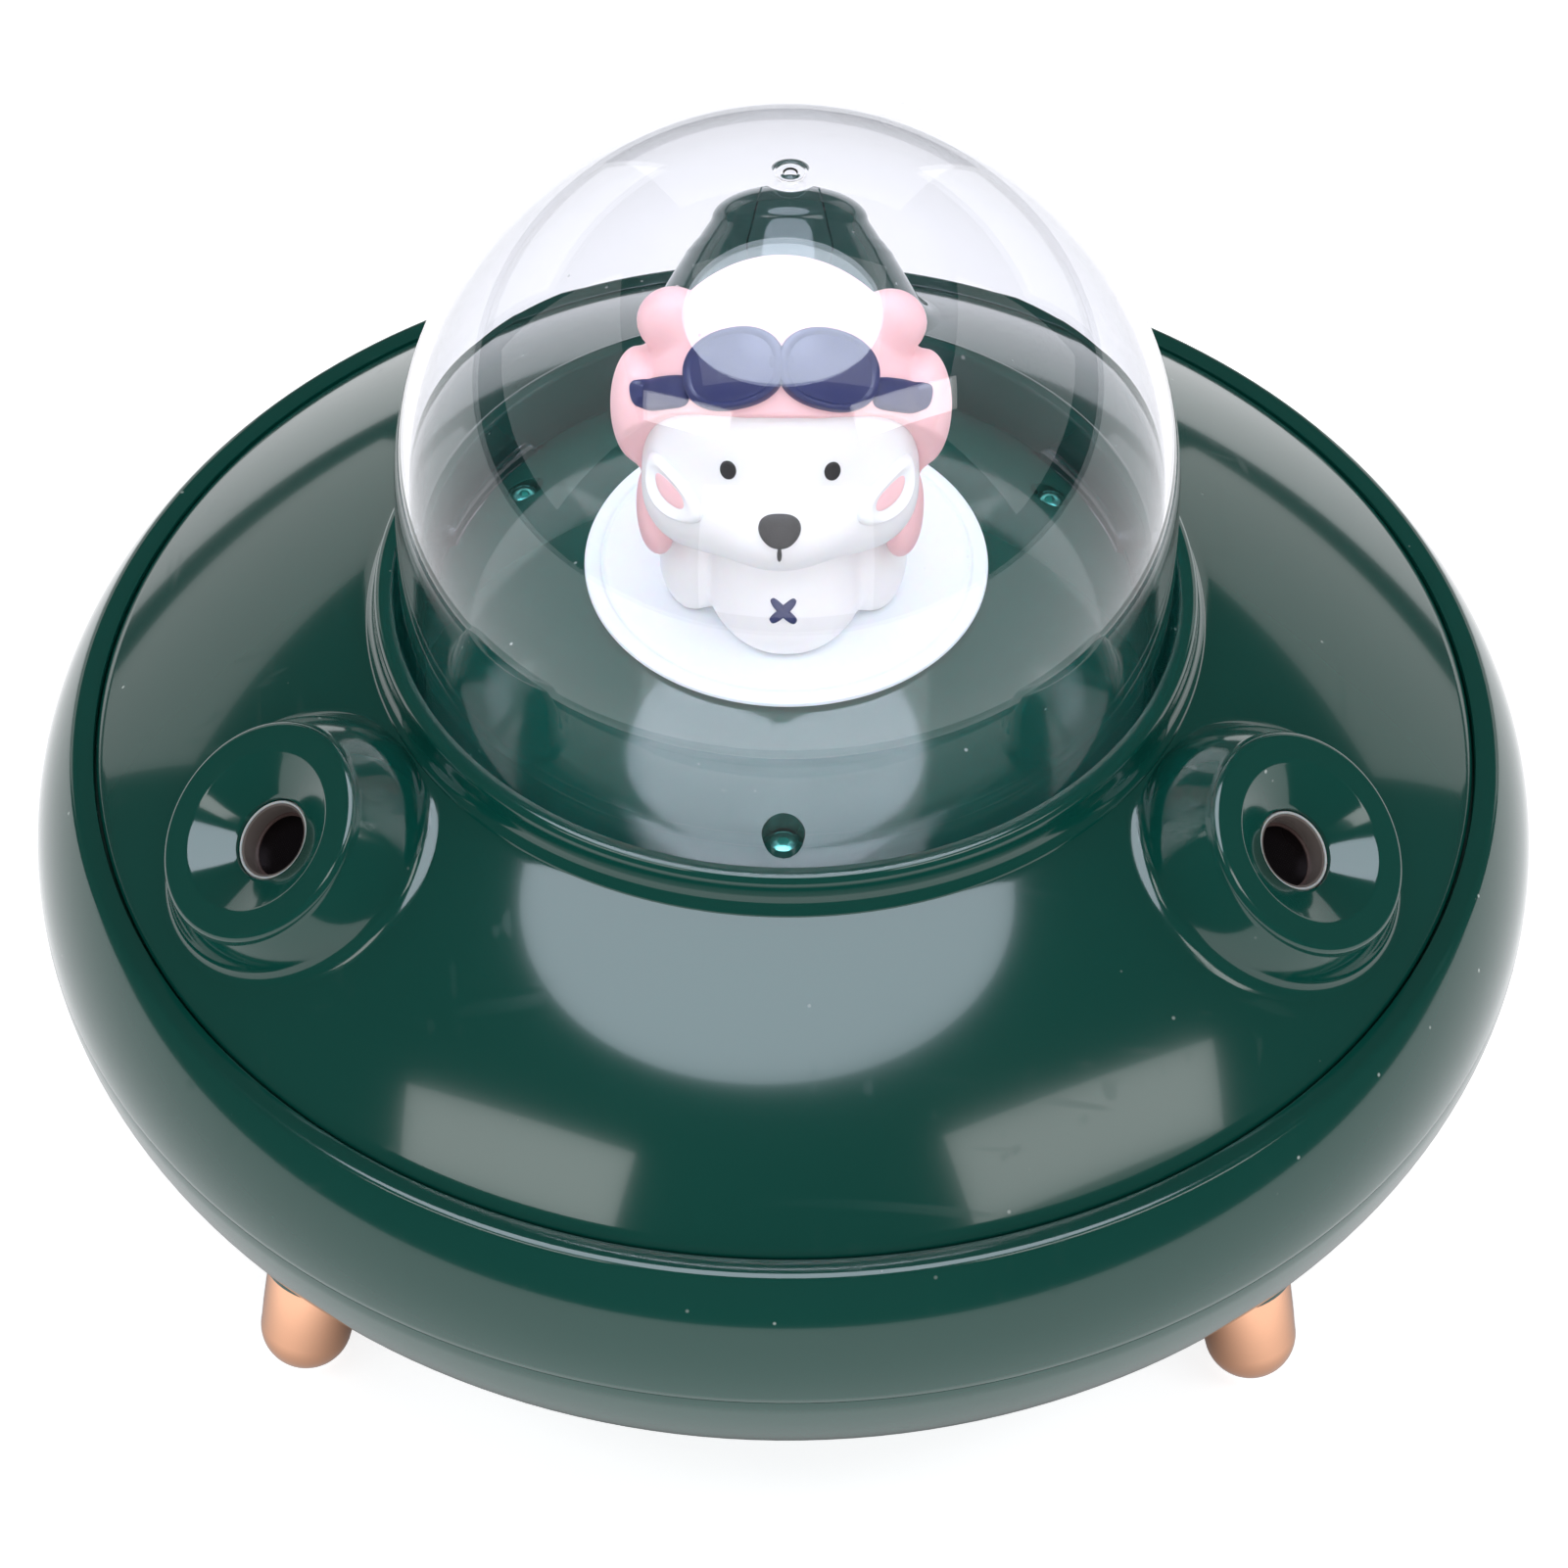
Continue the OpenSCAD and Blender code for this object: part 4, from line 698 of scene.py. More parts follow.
def grown_from_lid(matrix, side_radius, start_s, blend):
    """Rings that carry a round boss's side down to the lid and blend it in.

    side_radius(s) is the boss's radius at s below its origin. Returns the rings from the
    side at start_s down to just inside the lid's skin, in the whole part's frame.
    """
    n = 144
    angle = np.linspace(0, 2 * pi, n, endpoint=False)
    out = np.stack([np.cos(angle), np.sin(angle), np.zeros(n)], 1)
    centre = np.array([0.0, 0.0, LID_C])

    def side(s):
        radius = np.array([side_radius(v) for v in s])
        local = out * radius[:, None]
        local[:, 2] = -s
        return moved(local, matrix)

    low, high = np.full(n, start_s), np.full(n, 24.0)
    for _ in range(40):
        mid = (low + high) / 2
        outside = np.linalg.norm(side(mid) - centre, axis=1) > LID_BALL
        low, high = np.where(outside, mid, low), np.where(outside, high, mid)
    crease_s = (low + high) / 2
    crease = side(crease_s)
    up = (crease - centre) / np.linalg.norm(crease - centre, axis=1)[:, None]
    away = out @ np.array(matrix)[:3, :3].T
    away = away - up * (away * up).sum(1)[:, None]
    away /= np.linalg.norm(away, axis=1)[:, None]
    room = np.hypot(crease[:, 0], crease[:, 1]) - 51.75
    toward_collar = (away[:, :2] * crease[:, :2]).sum(1) < 0
    reach = np.where(toward_collar, np.clip(room * 0.8, 0.25, blend), blend)
    for _ in range(12):
        reach = np.minimum(reach, (np.roll(reach, 1) + np.roll(reach, -1)) / 2 + 0.02)

    def on_ball(points, sink=0.0):
        way = points - centre
        return centre + way / np.linalg.norm(way, axis=1)[:, None] * (LID_BALL - sink)

    rings = []
    rows = 12
    for k in range(rows + 1):
        rings.append(side(start_s + (crease_s - reach - start_s) * k / rows))
    a, b = rings[-1], on_ball(crease + away * reach[:, None])
    for k in range(1, 7):
        t = k / 7
        rings.append(a * (1 - t) ** 2 + crease * 2 * t * (1 - t) + b * t * t)
    rings.append(b)
    rings.append(on_ball(b + away * 0.25, 0.03))
    rings.append(on_ball(b + away * 0.25, 1.2))
    return rings, crease_s


def ring_at(matrix, r, z, n=144):
    """A ring of corners round the matrix's Z. r and z may differ from corner to corner."""
    angle = np.linspace(0, 2 * pi, n, endpoint=False)
    return moved(np.stack([r * np.cos(angle), r * np.sin(angle), np.zeros(n) + z], 1), matrix)


def nozzle_boss(side):
    """A nozzle boss: side, rim, funnel, mist opening and the chamber below it."""
    matrix = at_nozzle(side)
    edge = 0.9  # rounding of the rim's outer edge

    def radius(s):
        return NOZZLE_R + BOSS_FLARE * sin(radians(min(90.0, 90 * (s - edge) / BOSS_H)))

    skirt, _ = grown_from_lid(matrix, radius, edge, 1.5)
    crown = arc(NOZZLE_R - edge, -edge, edge, 90, 8, 7)
    mouth = [(NOZZLE_R - edge - 0.25, 0.0), (FUNNEL_R + 0.5, 0.0), (FUNNEL_R + 0.22, 0.0), (FUNNEL_R + 0.04, -0.04),
             (FUNNEL_R - 0.15, -0.16), (FUNNEL_R - 0.4, -0.28)]
    throat = [(MIST_R + 0.45, -FUNNEL_H + 0.16), (MIST_R + 0.2, -FUNNEL_H), (MIST_R + 0.04, -FUNNEL_H - 0.14),
              (MIST_R, -FUNNEL_H - 0.35), (MIST_R, SEAL_TOP), (CHAMBER_R, SEAL_TOP), (CHAMBER_R, NUT_END),
              (CHAMBER_R + 1.6, NUT_END), (CHAMBER_R + 1.6, -9.6)]
    inner = [ring_at(matrix, r, z) for r, z in throat[::-1] + mouth[::-1] + crown]
    return rings_to_shape(inner + skirt, True)


def tail_radius(s, inset=0.0):
    if s < TAIL_CAP:
        drop = max(0.0, 1 - s / TAIL_CAP)
        return (TAIL_R - inset) * sqrt(max(0.0, 1 - drop * drop))
    return TAIL_R + TAIL_FLARE * (s - TAIL_CAP) - inset


def tail_shell():
    """The raised tail as a closed shell: outside down to the lid, inside back up to its tip."""
    skirt, crease_s = grown_from_lid(AT_TAIL, tail_radius, TAIL_CAP + 0.4, 2.0)
    tip = [np.array(AT_TAIL)[:3, 3][None, :]]
    for t in range(4, 91, 4):
        tip.append(ring_at(AT_TAIL, TAIL_R * sin(radians(t)), -TAIL_CAP * (1 - cos(radians(t)))))
    inside = []
    for k in range(7):
        s = (crease_s + 1.8) * (1 - k / 7) + TAIL_CAP * k / 7
        inside.append(ring_at(AT_TAIL, np.array([tail_radius(v, WALL) for v in s]), -s))
    for t in range(90, 4, -6):
        inside.append(ring_at(AT_TAIL, (TAIL_R - WALL) * sin(radians(t)),
                              -TAIL_CAP + (TAIL_CAP - WALL) * cos(radians(t))))
    inside.append((np.array(AT_TAIL) @ np.array([0, 0, -WALL, 1]))[:3][None, :])
    return rings_to_shape(tip + skirt + inside, False)


def button_outline(grow):
    k = degrees(asin((BUTTON_R - BUTTON_TOP_R) / BUTTON_UP))
    return (arc(0, 0, BUTTON_R + grow, 180 - k, 360 + k, 32) + arc(0, BUTTON_UP, BUTTON_TOP_R + grow, k, 180 - k, 16))


def socket_bar(grow, low, high):
    """A bar with round sides along Y, for the power socket and its slot."""
    r, x = 1.6 + grow, 2.9
    outline = arc(x, 0, r, -90, 90, 10) + arc(-x, 0, r, 90, 270, 10)
    return placed(extruded(outline, low, high), shift(0, SOCKET_Y, TAIL_Z - SOCKET_DOWN) @ spin(90, "X"))


def lid_shape():
    chambers = [placed(rod(CHAMBER_R + 0.8, -30, 0, 72), at_nozzle(s)) for s in (-1, 1)]
    hollow = turned([(0, -24.0), (tail_radius(24.0, WALL), -24.0), (tail_radius(TAIL_CAP, WALL), -TAIL_CAP),
                     (0, -WALL)], 96)
    hollow = combined(placed(hollow, AT_TAIL), [rod(52.4, 0, 120, 96)])
    slot = socket_bar(0.3, -6.0, 8.0)
    body = combined(lid_body_shape(), chambers + [hollow])
    prism = placed(extruded(button_outline(BUTTON_GAP), -BUTTON_DEPTH - 0.85, 6.0), AT_BUTTON)
    tail = combined(tail_shell(), [prism, slot, rod(COLLAR_R - 0.8, 0, 120, 96)])
    post = rod(3.4, 49.0, lid_under_z(79.2) + 0.5, 32)
    posts = [placed(post, spin(a) @ shift(0, -COVER_SCREW_R, 0)) for a in COVER_SCREWS]
    return merged(body, nozzle_boss(-1), nozzle_boss(1), tail, *posts)


def button_shape():
    shell_out = [(0.0, 0.0)]
    shell_out += [(TAIL_R * sin(radians(t)), -TAIL_CAP * (1 - cos(radians(t)))) for t in range(4, 91, 4)]
    shell_out += [(tail_radius(s), -s) for s in (8.0, 12.0, 16.0, 20.0)]
    shell_in = [(tail_radius(s, WALL), -s) for s in (20.0, 12.0, TAIL_CAP)]
    shell_in += [((TAIL_R - WALL) * sin(radians(t)), -TAIL_CAP + (TAIL_CAP - WALL) * cos(radians(t)))
                 for t in range(84, 4, -6)] + [(0.0, -WALL)]
    shell = placed(turned(shell_out + shell_in, 144), AT_TAIL)
    prism = placed(extruded(button_outline(0.0), -BUTTON_DEPTH, 6.0), AT_BUTTON)
    stem = placed(rod(2.0, -4.4, -1.5, 32), AT_BUTTON @ shift(0, -2.6, 0))
    return merged(combined(shell, [prism], "INTERSECT"), stem)


piece("lid_cover", [(lid_shape(), gloss_green)], "lid", ["top_cover"], sharp=32.0)
piece("tail_button", [(button_shape(), gloss_green)], "button", ["power_button"], sharp=32.0)
seal = turned(softened([(82.25, STEP_Z - 3.1, 0.3), (84.6, STEP_Z - 3.1, 0.6), (84.6, STEP_Z - 1.4, 0.6),
                        (82.25, STEP_Z - 1.4, 0.3)]), 144)
piece("lid_seal_ring", [(seal, silicone)], "lid", ["lid_seal"])

# ---------------------------------------------------------------- dome


def lug_shape(azimuth):
    """One of the lugs inside the dome's foot, as a bent bar with soft ends."""
    half = 13.0
    steps = 20
    rings = []
    for i in range(steps + 1):
        u = -1 + 2 * i / steps
        a = radians(azimuth + u * half)
        pinch = 1 if abs(u) < 0.95 else 0.75
        box = [(44.7, DOME_FOOT + 0.02), (46.3, DOME_FOOT + 0.02), (46.3, DOME_FOOT + 2.9 * pinch),
               (45.0, DOME_FOOT + 2.9 * pinch), (44.7, DOME_FOOT + 2.6 * pinch)]
        rings.append(np.array([(r * cos(a), r * sin(a), z) for r, z in box]))
    first, last = rings[0].mean(0)[None, :], rings[-1].mean(0)[None, :]
    return rings_to_shape([first] + rings + [last], False)


def dome_shape():
    def draft(t, inset=0.0):
        return (DOME_FOOT_R - inset - (DOME_FOOT_R - DOME_R) * t ** 0.8,
                DOME_FOOT + 0.5 + (DOME_Z - DOME_FOOT - 0.5) * t)

    skirt = [(DOME_FOOT_R - 0.5, DOME_FOOT), (DOME_FOOT_R - 0.12, DOME_FOOT + 0.12), (DOME_FOOT_R, DOME_FOOT + 0.5)]
    skirt += [draft(t) for t in np.linspace(0.08, 0.96, 12)]
    ball = [(DOME_R * cos(radians(t)), DOME_Z + DOME_R * sin(radians(t))) for t in np.linspace(0, 87.4, 62)]
    crown = DOME_Z + DOME_R
    gate = [(1.75, crown + 0.02), (1.6, crown + 0.17), (1.3, crown + 0.2), (0.85, crown + 0.15),
            (0.7, crown - 0.04), (0.3, crown - 0.08)]
    r = DOME_R - DOME_WALL
    under = [(0.0, DOME_Z + r)]
    under += [(r * cos(radians(t)), DOME_Z + r * sin(radians(t))) for t in np.linspace(88.5, 0, 60)]
    inside = [draft(t, DOME_WALL) for t in np.linspace(0.96, 0.0, 12)]
    foot = [(DOME_FOOT_R - DOME_WALL + 0.12, DOME_FOOT + 0.12), (DOME_FOOT_R - DOME_WALL + 0.4, DOME_FOOT)]
    return turned([(0.0, crown - 0.08)] + gate[::-1] + ball[::-1] + skirt[::-1] + foot[::-1] + inside[::-1]
                  + under[::-1], 200)


piece("clear_dome", [(merged(dome_shape(), *[lug_shape(a - 90) for a in THIRDS]), clear_acrylic)],
      "dome_cover", ["dome"])

# ---------------------------------------------------------------- deck and lamp


def deck_shape():
    cap = [(r, deck_z(r)) for r in np.linspace(DECK_R - 0.4, 22.8, 34)]
    under_ball = DECK_BALL - 2.0

    def under(r):
        return DECK_C + sqrt(under_ball ** 2 - r * r)

    profile = [(DECK_R - 0.3, LEDGE_Z), (DECK_R, LEDGE_Z + 0.3), (DECK_R, DECK_EDGE_Z - 0.3)] + cap
    profile += [(22.5, deck_z(22.5) - 0.05), (22.4, deck_z(22.4) - 0.3), (22.4, under(22.4))]
    profile += [(r, under(r)) for r in np.linspace(24.0, 41.4, 12)] + [(42.0, LEDGE_Z + 0.3), (42.4, LEDGE_Z)]
    shell = turned(profile, 192)
    top = deck_z(DECK_SCREW_R)
    sink = turned([(0, 60), (1.6, 60), (1.6, top - 1.9), (2.35, top - 1.9), (2.35, top - 0.35), (2.6, top + 0.3),
                   (2.6, 90), (0, 90)], 48)
    half = 14.5
    slot = [(43.9 * cos(radians(t)), 43.9 * sin(radians(t))) for t in np.linspace(-half, half, 16)]
    slot += [(47.5 * cos(radians(t)), 47.5 * sin(radians(t))) for t in np.linspace(half, -half, 16)]
    lug_slot = extruded(slot, 68.0, LEDGE_Z + 3.6)
    post = turned([(0, LEDGE_Z + 1), (4.0, LEDGE_Z + 1), (4.0, deck_z(42.0) - 1.2), (0, deck_z(35.0) - 1.2)], 40)
    cutters, posts = [], []
    for a in THIRDS:
        at_screw = spin(a) @ shift(0, -DECK_SCREW_R, 0)
        cutters += [placed(sink, at_screw), placed(lug_slot, spin(a - 90))]
        posts.append(combined(placed(post, at_screw), [placed(rod(1.6, 60, 90, 24), at_screw)]))
    return merged(combined(shell, cutters), *posts)


def lamp_z(r):
    ball = (LAMP_R ** 2 + LAMP_CROWN ** 2) / (2 * LAMP_CROWN)
    return LAMP_TOP - ball + sqrt(ball ** 2 - r * r)


def lamp_shape():
    under_z = deck_z(22.4) + 0.05
    plate = under_z - 1.0
    groove = 22.5
    rim_z = lamp_z(groove)
    top = [(LAMP_R, LAMP_EDGE_Z - 0.45), (LAMP_R - 0.1, LAMP_EDGE_Z - 0.18), (LAMP_R - 0.35, LAMP_EDGE_Z - 0.02),
           (LAMP_R - 0.7, lamp_z(LAMP_R - 0.7)), (groove + 0.55, rim_z), (groove + 0.3, rim_z - 0.05),
           (groove + 0.12, rim_z - 0.22), (groove - 0.12, rim_z - 0.22), (groove - 0.3, rim_z - 0.05),
           (groove - 0.55, lamp_z(groove - 0.5))]
    top += [(r, lamp_z(r)) for r in np.linspace(21.5, 1.0, 14)] + [(0.0, lamp_z(0))]
    below = [(0.0, plate), (20.7, plate), (20.7, under_z - 5), (LAMP_SPIGOT, under_z - 5), (LAMP_SPIGOT, under_z),
             (LAMP_R - 0.2, under_z), (LAMP_R, under_z + 0.2)]
    return turned(below + top, 160)


piece("dark_deck", [(deck_shape(), gloss_green)], "lid", ["deck"], sharp=32.0)
piece("glow_disc", [(lamp_shape(), lamp_opal)], "lid", ["lamp_disc"])

# ---------------------------------------------------------------- cub figure

HEAD = np.array([-0.8, -3.0, 108.6])
BODY = np.array([-0.3, -4.2, 90.5])


def blob(p, centre, radii):
    """Rough distance from p to an ellipsoid's surface, below 0 inside."""
    q = (p - np.array(centre)) / np.array(radii)
    return (np.linalg.norm(q, axis=-1) - 1) * min(radii)


def join(a, b, soft):
    """The union of two distance fields with a soft blend."""
    h = np.clip(0.5 + 0.5 * (b - a) / soft, 0, 1)
    return b * (1 - h) + a * h - soft * h * (1 - h)


def both_sides(p, centre, radii):
    mirrored = p * np.array([-1.0, 1.0, 1.0])
    return np.minimum(blob(p, centre, radii), blob(mirrored, centre, radii))


def head_field(p):
    d = blob(p, (0, 0, 0), (16.4, 15.6, 15.8))
    d = join(d, both_sides(p, (8.4, -7.6, -5.6), (7.4, 6.6, 6.6)), 4.0)
    d = join(d, blob(p, (0, -12.2, -4.6), (7.4, 6.9, 6.0)), 4.5)
    return d


def cap_field(p):
    d = blob(p, (0, 0, 0.2), (17.7, 16.9, 17.2))
    d = join(d, blob(p, (0, 1.5, 8.0), (11.5, 12.0, 9.9)), 3.0)
    d = join(d, both_sides(p, (12.4, 1.2, 13.0), (4.2, 3.6, 4.1)), 1.0)
    d = join(d, both_sides(p, (16.6, -1.2, 2.4), (3.2, 6.0, 7.2)), 1.0)
    return d


def body_field(p):
    q = p + BODY
    d = blob(q, (0.0, -6.4, 87.4), (9.9, 12.6, 8.6))
    d = join(d, blob(q, (-0.2, -4.6, 94.0), (9.2, 10.6, 9.5)), 4.0)
    for side in (-1, 1):
        d = join(d, blob(q, (side * 10.4 - 0.4, -4.6, 88.0), (4.5, 7.0, 7.4)), 0.8)
    return np.maximum(d, LAMP_TOP - 0.1 - q[..., 2])


def reach_of(field, ways, far=26.0):
    """How far a field's surface lies from its centre along unit directions."""
    n = ways.shape[0]
    low, high = np.zeros(n), np.full(n, far)
    found = np.zeros(n, bool)
    for t in np.linspace(far, 0, 66):
        inside = field(ways * t) < 0
        new = inside & ~found
        low[new], high[new] = t, t + far / 65
        found |= inside
    for _ in range(14):
        mid = (low + high) / 2
        inside = field(ways * mid[:, None]) < 0
        low, high = np.where(inside, mid, low), np.where(inside, high, mid)
    return (low + high) / 2


def star(centre, field, rows, columns, pole=(0, 0, 1)):
    """A closed skin round a centre that every part of it can see."""
    z = np.array(pole, float)
    z /= np.linalg.norm(z)
    x = np.cross([0, 1, 0.01], z)
    x /= np.linalg.norm(x)
    y = np.cross(z, x)
    turn = np.linspace(0, 2 * pi, columns, endpoint=False)
    rings = []
    for i in range(rows + 1):
        t = pi * i / rows
        if i in (0, rows):
            ways = np.array([z * cos(t)])
        else:
            ways = (np.cos(turn)[:, None] * x + np.sin(turn)[:, None] * y) * sin(t) + z * cos(t)
        rings.append(ways)
    allways = np.concatenate(rings)
    reach = reach_of(field, allways)
    points = centre + allways * reach[:, None]
    out, at = [], 0
    for ring in rings:
        out.append(points[at:at + len(ring)])
        at += len(ring)
    return rings_to_shape(out, False)


def pillow(centre, field, middle, along, long, wide, proud, square=2.0, crown=None, sink=0.5, rows=10, columns=56):
    """A raised patch on a skin: an oval (or squarer, as square grows) round the direction middle."""
    mid = np.array(middle, float)
    mid /= np.linalg.norm(mid)
    a = np.array(along, float)
    a -= mid * a.dot(mid)
    a /= np.linalg.norm(a)
    b = np.cross(mid, a)
    base = float(reach_of(field, mid[None, :])[0])
    turn = np.linspace(0, 2 * pi, columns, endpoint=False)
    c, s = np.cos(turn), np.sin(turn)
    edge = (np.abs(c) ** square + np.abs(s) ** square) ** (-1 / square)
    if crown is None:
        crown = [(0.0, 1.0), (0.3, 0.99), (0.55, 0.95), (0.75, 0.86), (0.88, 0.7), (0.96, 0.42), (1.0, 0.0)]
    rings, lifts = [], []
    for rho, lift in crown + [(1.0, None)]:
        if rho == 0:
            spots = mid[None, :] * base
        else:
            spots = mid * base + (c * edge * rho * long)[:, None] * a + (s * edge * rho * wide)[:, None] * b
        rings.append(spots / np.linalg.norm(spots, axis=1)[:, None])
        lifts.append(-sink if lift is None else lift * proud)
    under = mid[None, :]
    ways = np.concatenate(rings + [under])
    reach = reach_of(field, ways)
    out, at = [], 0
    for ring, lift in zip(rings + [under], lifts + [-sink]):
        r = reach[at:at + len(ring)] + lift
        out.append(centre + ring * r[:, None])
        at += len(ring)
    return rings_to_shape(out, False)


def cap_shape():
    """The cap over the head, with a rounded lip round the face opening."""
    face = np.array([0, -cos(radians(4)), sin(radians(4))])
    side = np.array([1.0, 0, 0])
    up = np.cross(side, -face)
    up = up if up[2] > 0 else -up
    columns = 224
    turn = np.linspace(0, 2 * pi, columns, endpoint=False)
    marks = [0, 25, 45, 65, 85, 105, 125, 140, 155, 170, 180]
    opens = [35.5, 38, 46, 59, 70, 76, 81, 89, 112, 128, 132]
    bend = np.degrees(np.where(turn > pi, 2 * pi - turn, turn))
    open_ = np.interp(bend, marks, opens)
    for _ in range(30):
        open_ = (np.roll(open_, 1) + open_ * 2 + np.roll(open_, -1)) / 4
    spread = np.cos(turn)[:, None] * up + np.sin(turn)[:, None] * side
    lip = [(0.0, "in"), (0.0, 0.25), (0.25, 0.7), (0.9, 0.95), (1.8, 1.0)]
    rows = 110
    rings, kinds = [], []
    for gap, lift in lip:
        angle = np.radians(open_ + gap)
        rings.append(face * np.cos(angle)[:, None] + spread * np.sin(angle)[:, None])
        kinds.append(lift)
    for i in range(1, rows):
        angle = np.radians(open_ + 1.8 + (178.5 - open_ - 1.8) * i / (rows - 1))
        rings.append(face * np.cos(angle)[:, None] + spread * np.sin(angle)[:, None])
        kinds.append(1.0)
    sizes = [len(r) for r in rings]
    ways = np.concatenate(rings)
    skin, skull = reach_of(cap_field, ways, 28.0), reach_of(head_field, ways)
    out, at = [], 0
    for n, kind in zip(sizes, kinds):
        outer, inner = skin[at:at + n], skull[at:at + n]
        r = inner - 0.5 if kind == "in" else inner + (np.maximum(outer, inner + 0.4) - inner) * kind
        out.append(HEAD + ways[at:at + n] * r[:, None])
        at += n
    out.append(HEAD + (-face * float(reach_of(cap_field, -face[None, :])[0]))[None, :])
    inner_rings = []
    for gap in (60, 30, 8):
        angle = np.radians(np.minimum(open_ + gap, 176))
        way = face * np.cos(angle)[:, None] + spread * np.sin(angle)[:, None]
        inner_rings.append(HEAD + way * (reach_of(head_field, way) - 0.5)[:, None])
    core = HEAD + (-face * (float(reach_of(head_field, -face[None, :])[0]) - 0.5))[None, :]
    return rings_to_shape([core] + inner_rings + out, False)


def figure_pieces():
    head = star(HEAD, head_field, 120, 180)
    cap = cap_shape()
    goggles, straps, ears, insides, eyes = [], [], [], [], []
    rim = [(0.0, 0.80), (0.35, 0.79), (0.6, 0.76), (0.72, 0.72), (0.78, 0.74), (0.83, 0.96), (0.88, 1.0),
           (0.94, 0.9), (0.98, 0.6), (1.0, 0.0)]
    ear_edge = [(0.0, 0.3), (0.3, 0.32), (0.5, 0.45), (0.64, 0.85), (0.76, 1.0), (0.88, 0.8), (0.96, 0.42), (1.0, 0.0)]
    for s in (-1, 1):
        goggles.append(pillow(HEAD, cap_field, (s * 5.5, -8.7, 14.4), (1, -s * 0.12, 0.0), 6.3, 4.7, 1.3, 2.35, rim,
                              rows=10, columns=80))
        straps.append(pillow(HEAD, cap_field, (s * 13.9, -7.2, 9.6), (s * 0.62, 0.55, -0.62), 4.0, 1.95, 0.75, 4.5))
        ear_way = (-s * 0.66, -0.68, -0.30)
        ears.append(pillow(HEAD, head_field, (s * 11.5, -10.6, -1.1), ear_way, 5.4, 2.5, 0.8, 2.0, ear_edge))
        insides.append(pillow(HEAD, head_field, (s * 11.3, -10.9, -1.1), ear_way, 3.1, 1.1, 0.5, 2.0))
        eyes.append(pillow(HEAD, head_field, (s * 6.0, -14.2, 4.0), (0, 0.2, 1), 1.15, 1.0, 0.3, 2.0, columns=32))
    goggles.append(pillow(HEAD, cap_field, (0, -8.5, 14.9), (1, 0, 0), 1.9, 1.5, 1.05, 2.6, columns=32))
    piece("cub_head", [(head, cub_white)] + [(e, cub_white) for e in ears], "lid", ["figure_head"])
    flaps = [star(HEAD + np.array([s * 15.2, -5.4, -9.6]), lambda p: join(
        blob(p, (0, 0, 0), (1.7, 2.9, 6.2)), blob(p, (-s * 1.3, -2.0, -2.6), (1.5, 2.1, 2.8)), 1.5), 28, 36)
             for s in (-1, 1)]
    cap = merged(cap, *flaps)
    piece("cub_cap", [(cap, cap_pink)], "lid", ["figure_cap"], sharp=50.0)
    piece("cub_goggles", [(merged(*goggles), navy_paint)], "lid", ["figure_goggles"])
    piece("cub_strap", [(merged(*straps), navy_paint)], "lid", ["figure_strap"])
    piece("cub_ear_insides", [(merged(*insides), cap_pink)], "lid", ["figure_ears"])
    piece("cub_eyes", [(merged(*eyes), black_paint)], "lid", ["figure_eyes"])
    nose = pillow(HEAD, head_field, (0, -18.4, -1.4), (1, 0, 0), 2.5, 1.75, 0.9, 2.4, columns=48)
    tip = nose[0]
    low = tip[:, 2] < HEAD[2] - 1.4
    tip[low, 0] = HEAD[0] + (tip[low, 0] - HEAD[0]) * (1 - 0.22 * np.clip((HEAD[2] - 1.4 - tip[low, 2]) / 1.8, 0, 1))
    line = pillow(HEAD, head_field, (0, -18.0, -4.2), (0, 0.1, 1), 1.1, 0.28, 0.2, 2.0, columns=24)
    piece("cub_nose", [(merged(nose, line), black_paint)], "lid", ["figure_nose"])
    body = star(BODY, body_field, 100, 160)
    piece("cub_body", [(body, cub_white)], "lid", ["figure_body"])
    cross = [pillow(BODY, body_field, (0.0, -12.6, 0.5), (cos(radians(t)), 0, sin(radians(t))), 2.0, 0.52, 0.3, 3.2,
                    columns=32) for t in (42, 138)]
    piece("cub_cross", [(merged(*cross), navy_paint)], "lid", ["figure_cross"])


figure_pieces()

# ---------------------------------------------------------------- repeated pieces


def value_input(tree, name, kind, default=None):
    socket = tree.interface.new_socket(name=name, in_out="INPUT", socket_type=kind)
    if default is not None:
        socket.default_value = default
    return socket.identifier


def new_tree(name):
    tree = bpy.data.node_groups.new(name, "GeometryNodeTree")
    tree.interface.new_socket(name="Geometry", in_out="INPUT", socket_type="NodeSocketGeometry")
    tree.interface.new_socket(name="Geometry", in_out="OUTPUT", socket_type="NodeSocketGeometry")
    return tree, tree.nodes.new("NodeGroupInput"), tree.nodes.new("NodeGroupOutput")


def close_tree(tree, ins, outs, geometry):
    """Realize Instances and Set Material, then out."""
    real = add(tree, "GeometryNodeRealizeInstances", Geometry=geometry)
    painted = add(tree, "GeometryNodeSetMaterial", Geometry=real.outputs[0], Material=ins.outputs["Finish"])
    tree.links.new(painted.outputs[0], outs.inputs["Geometry"])


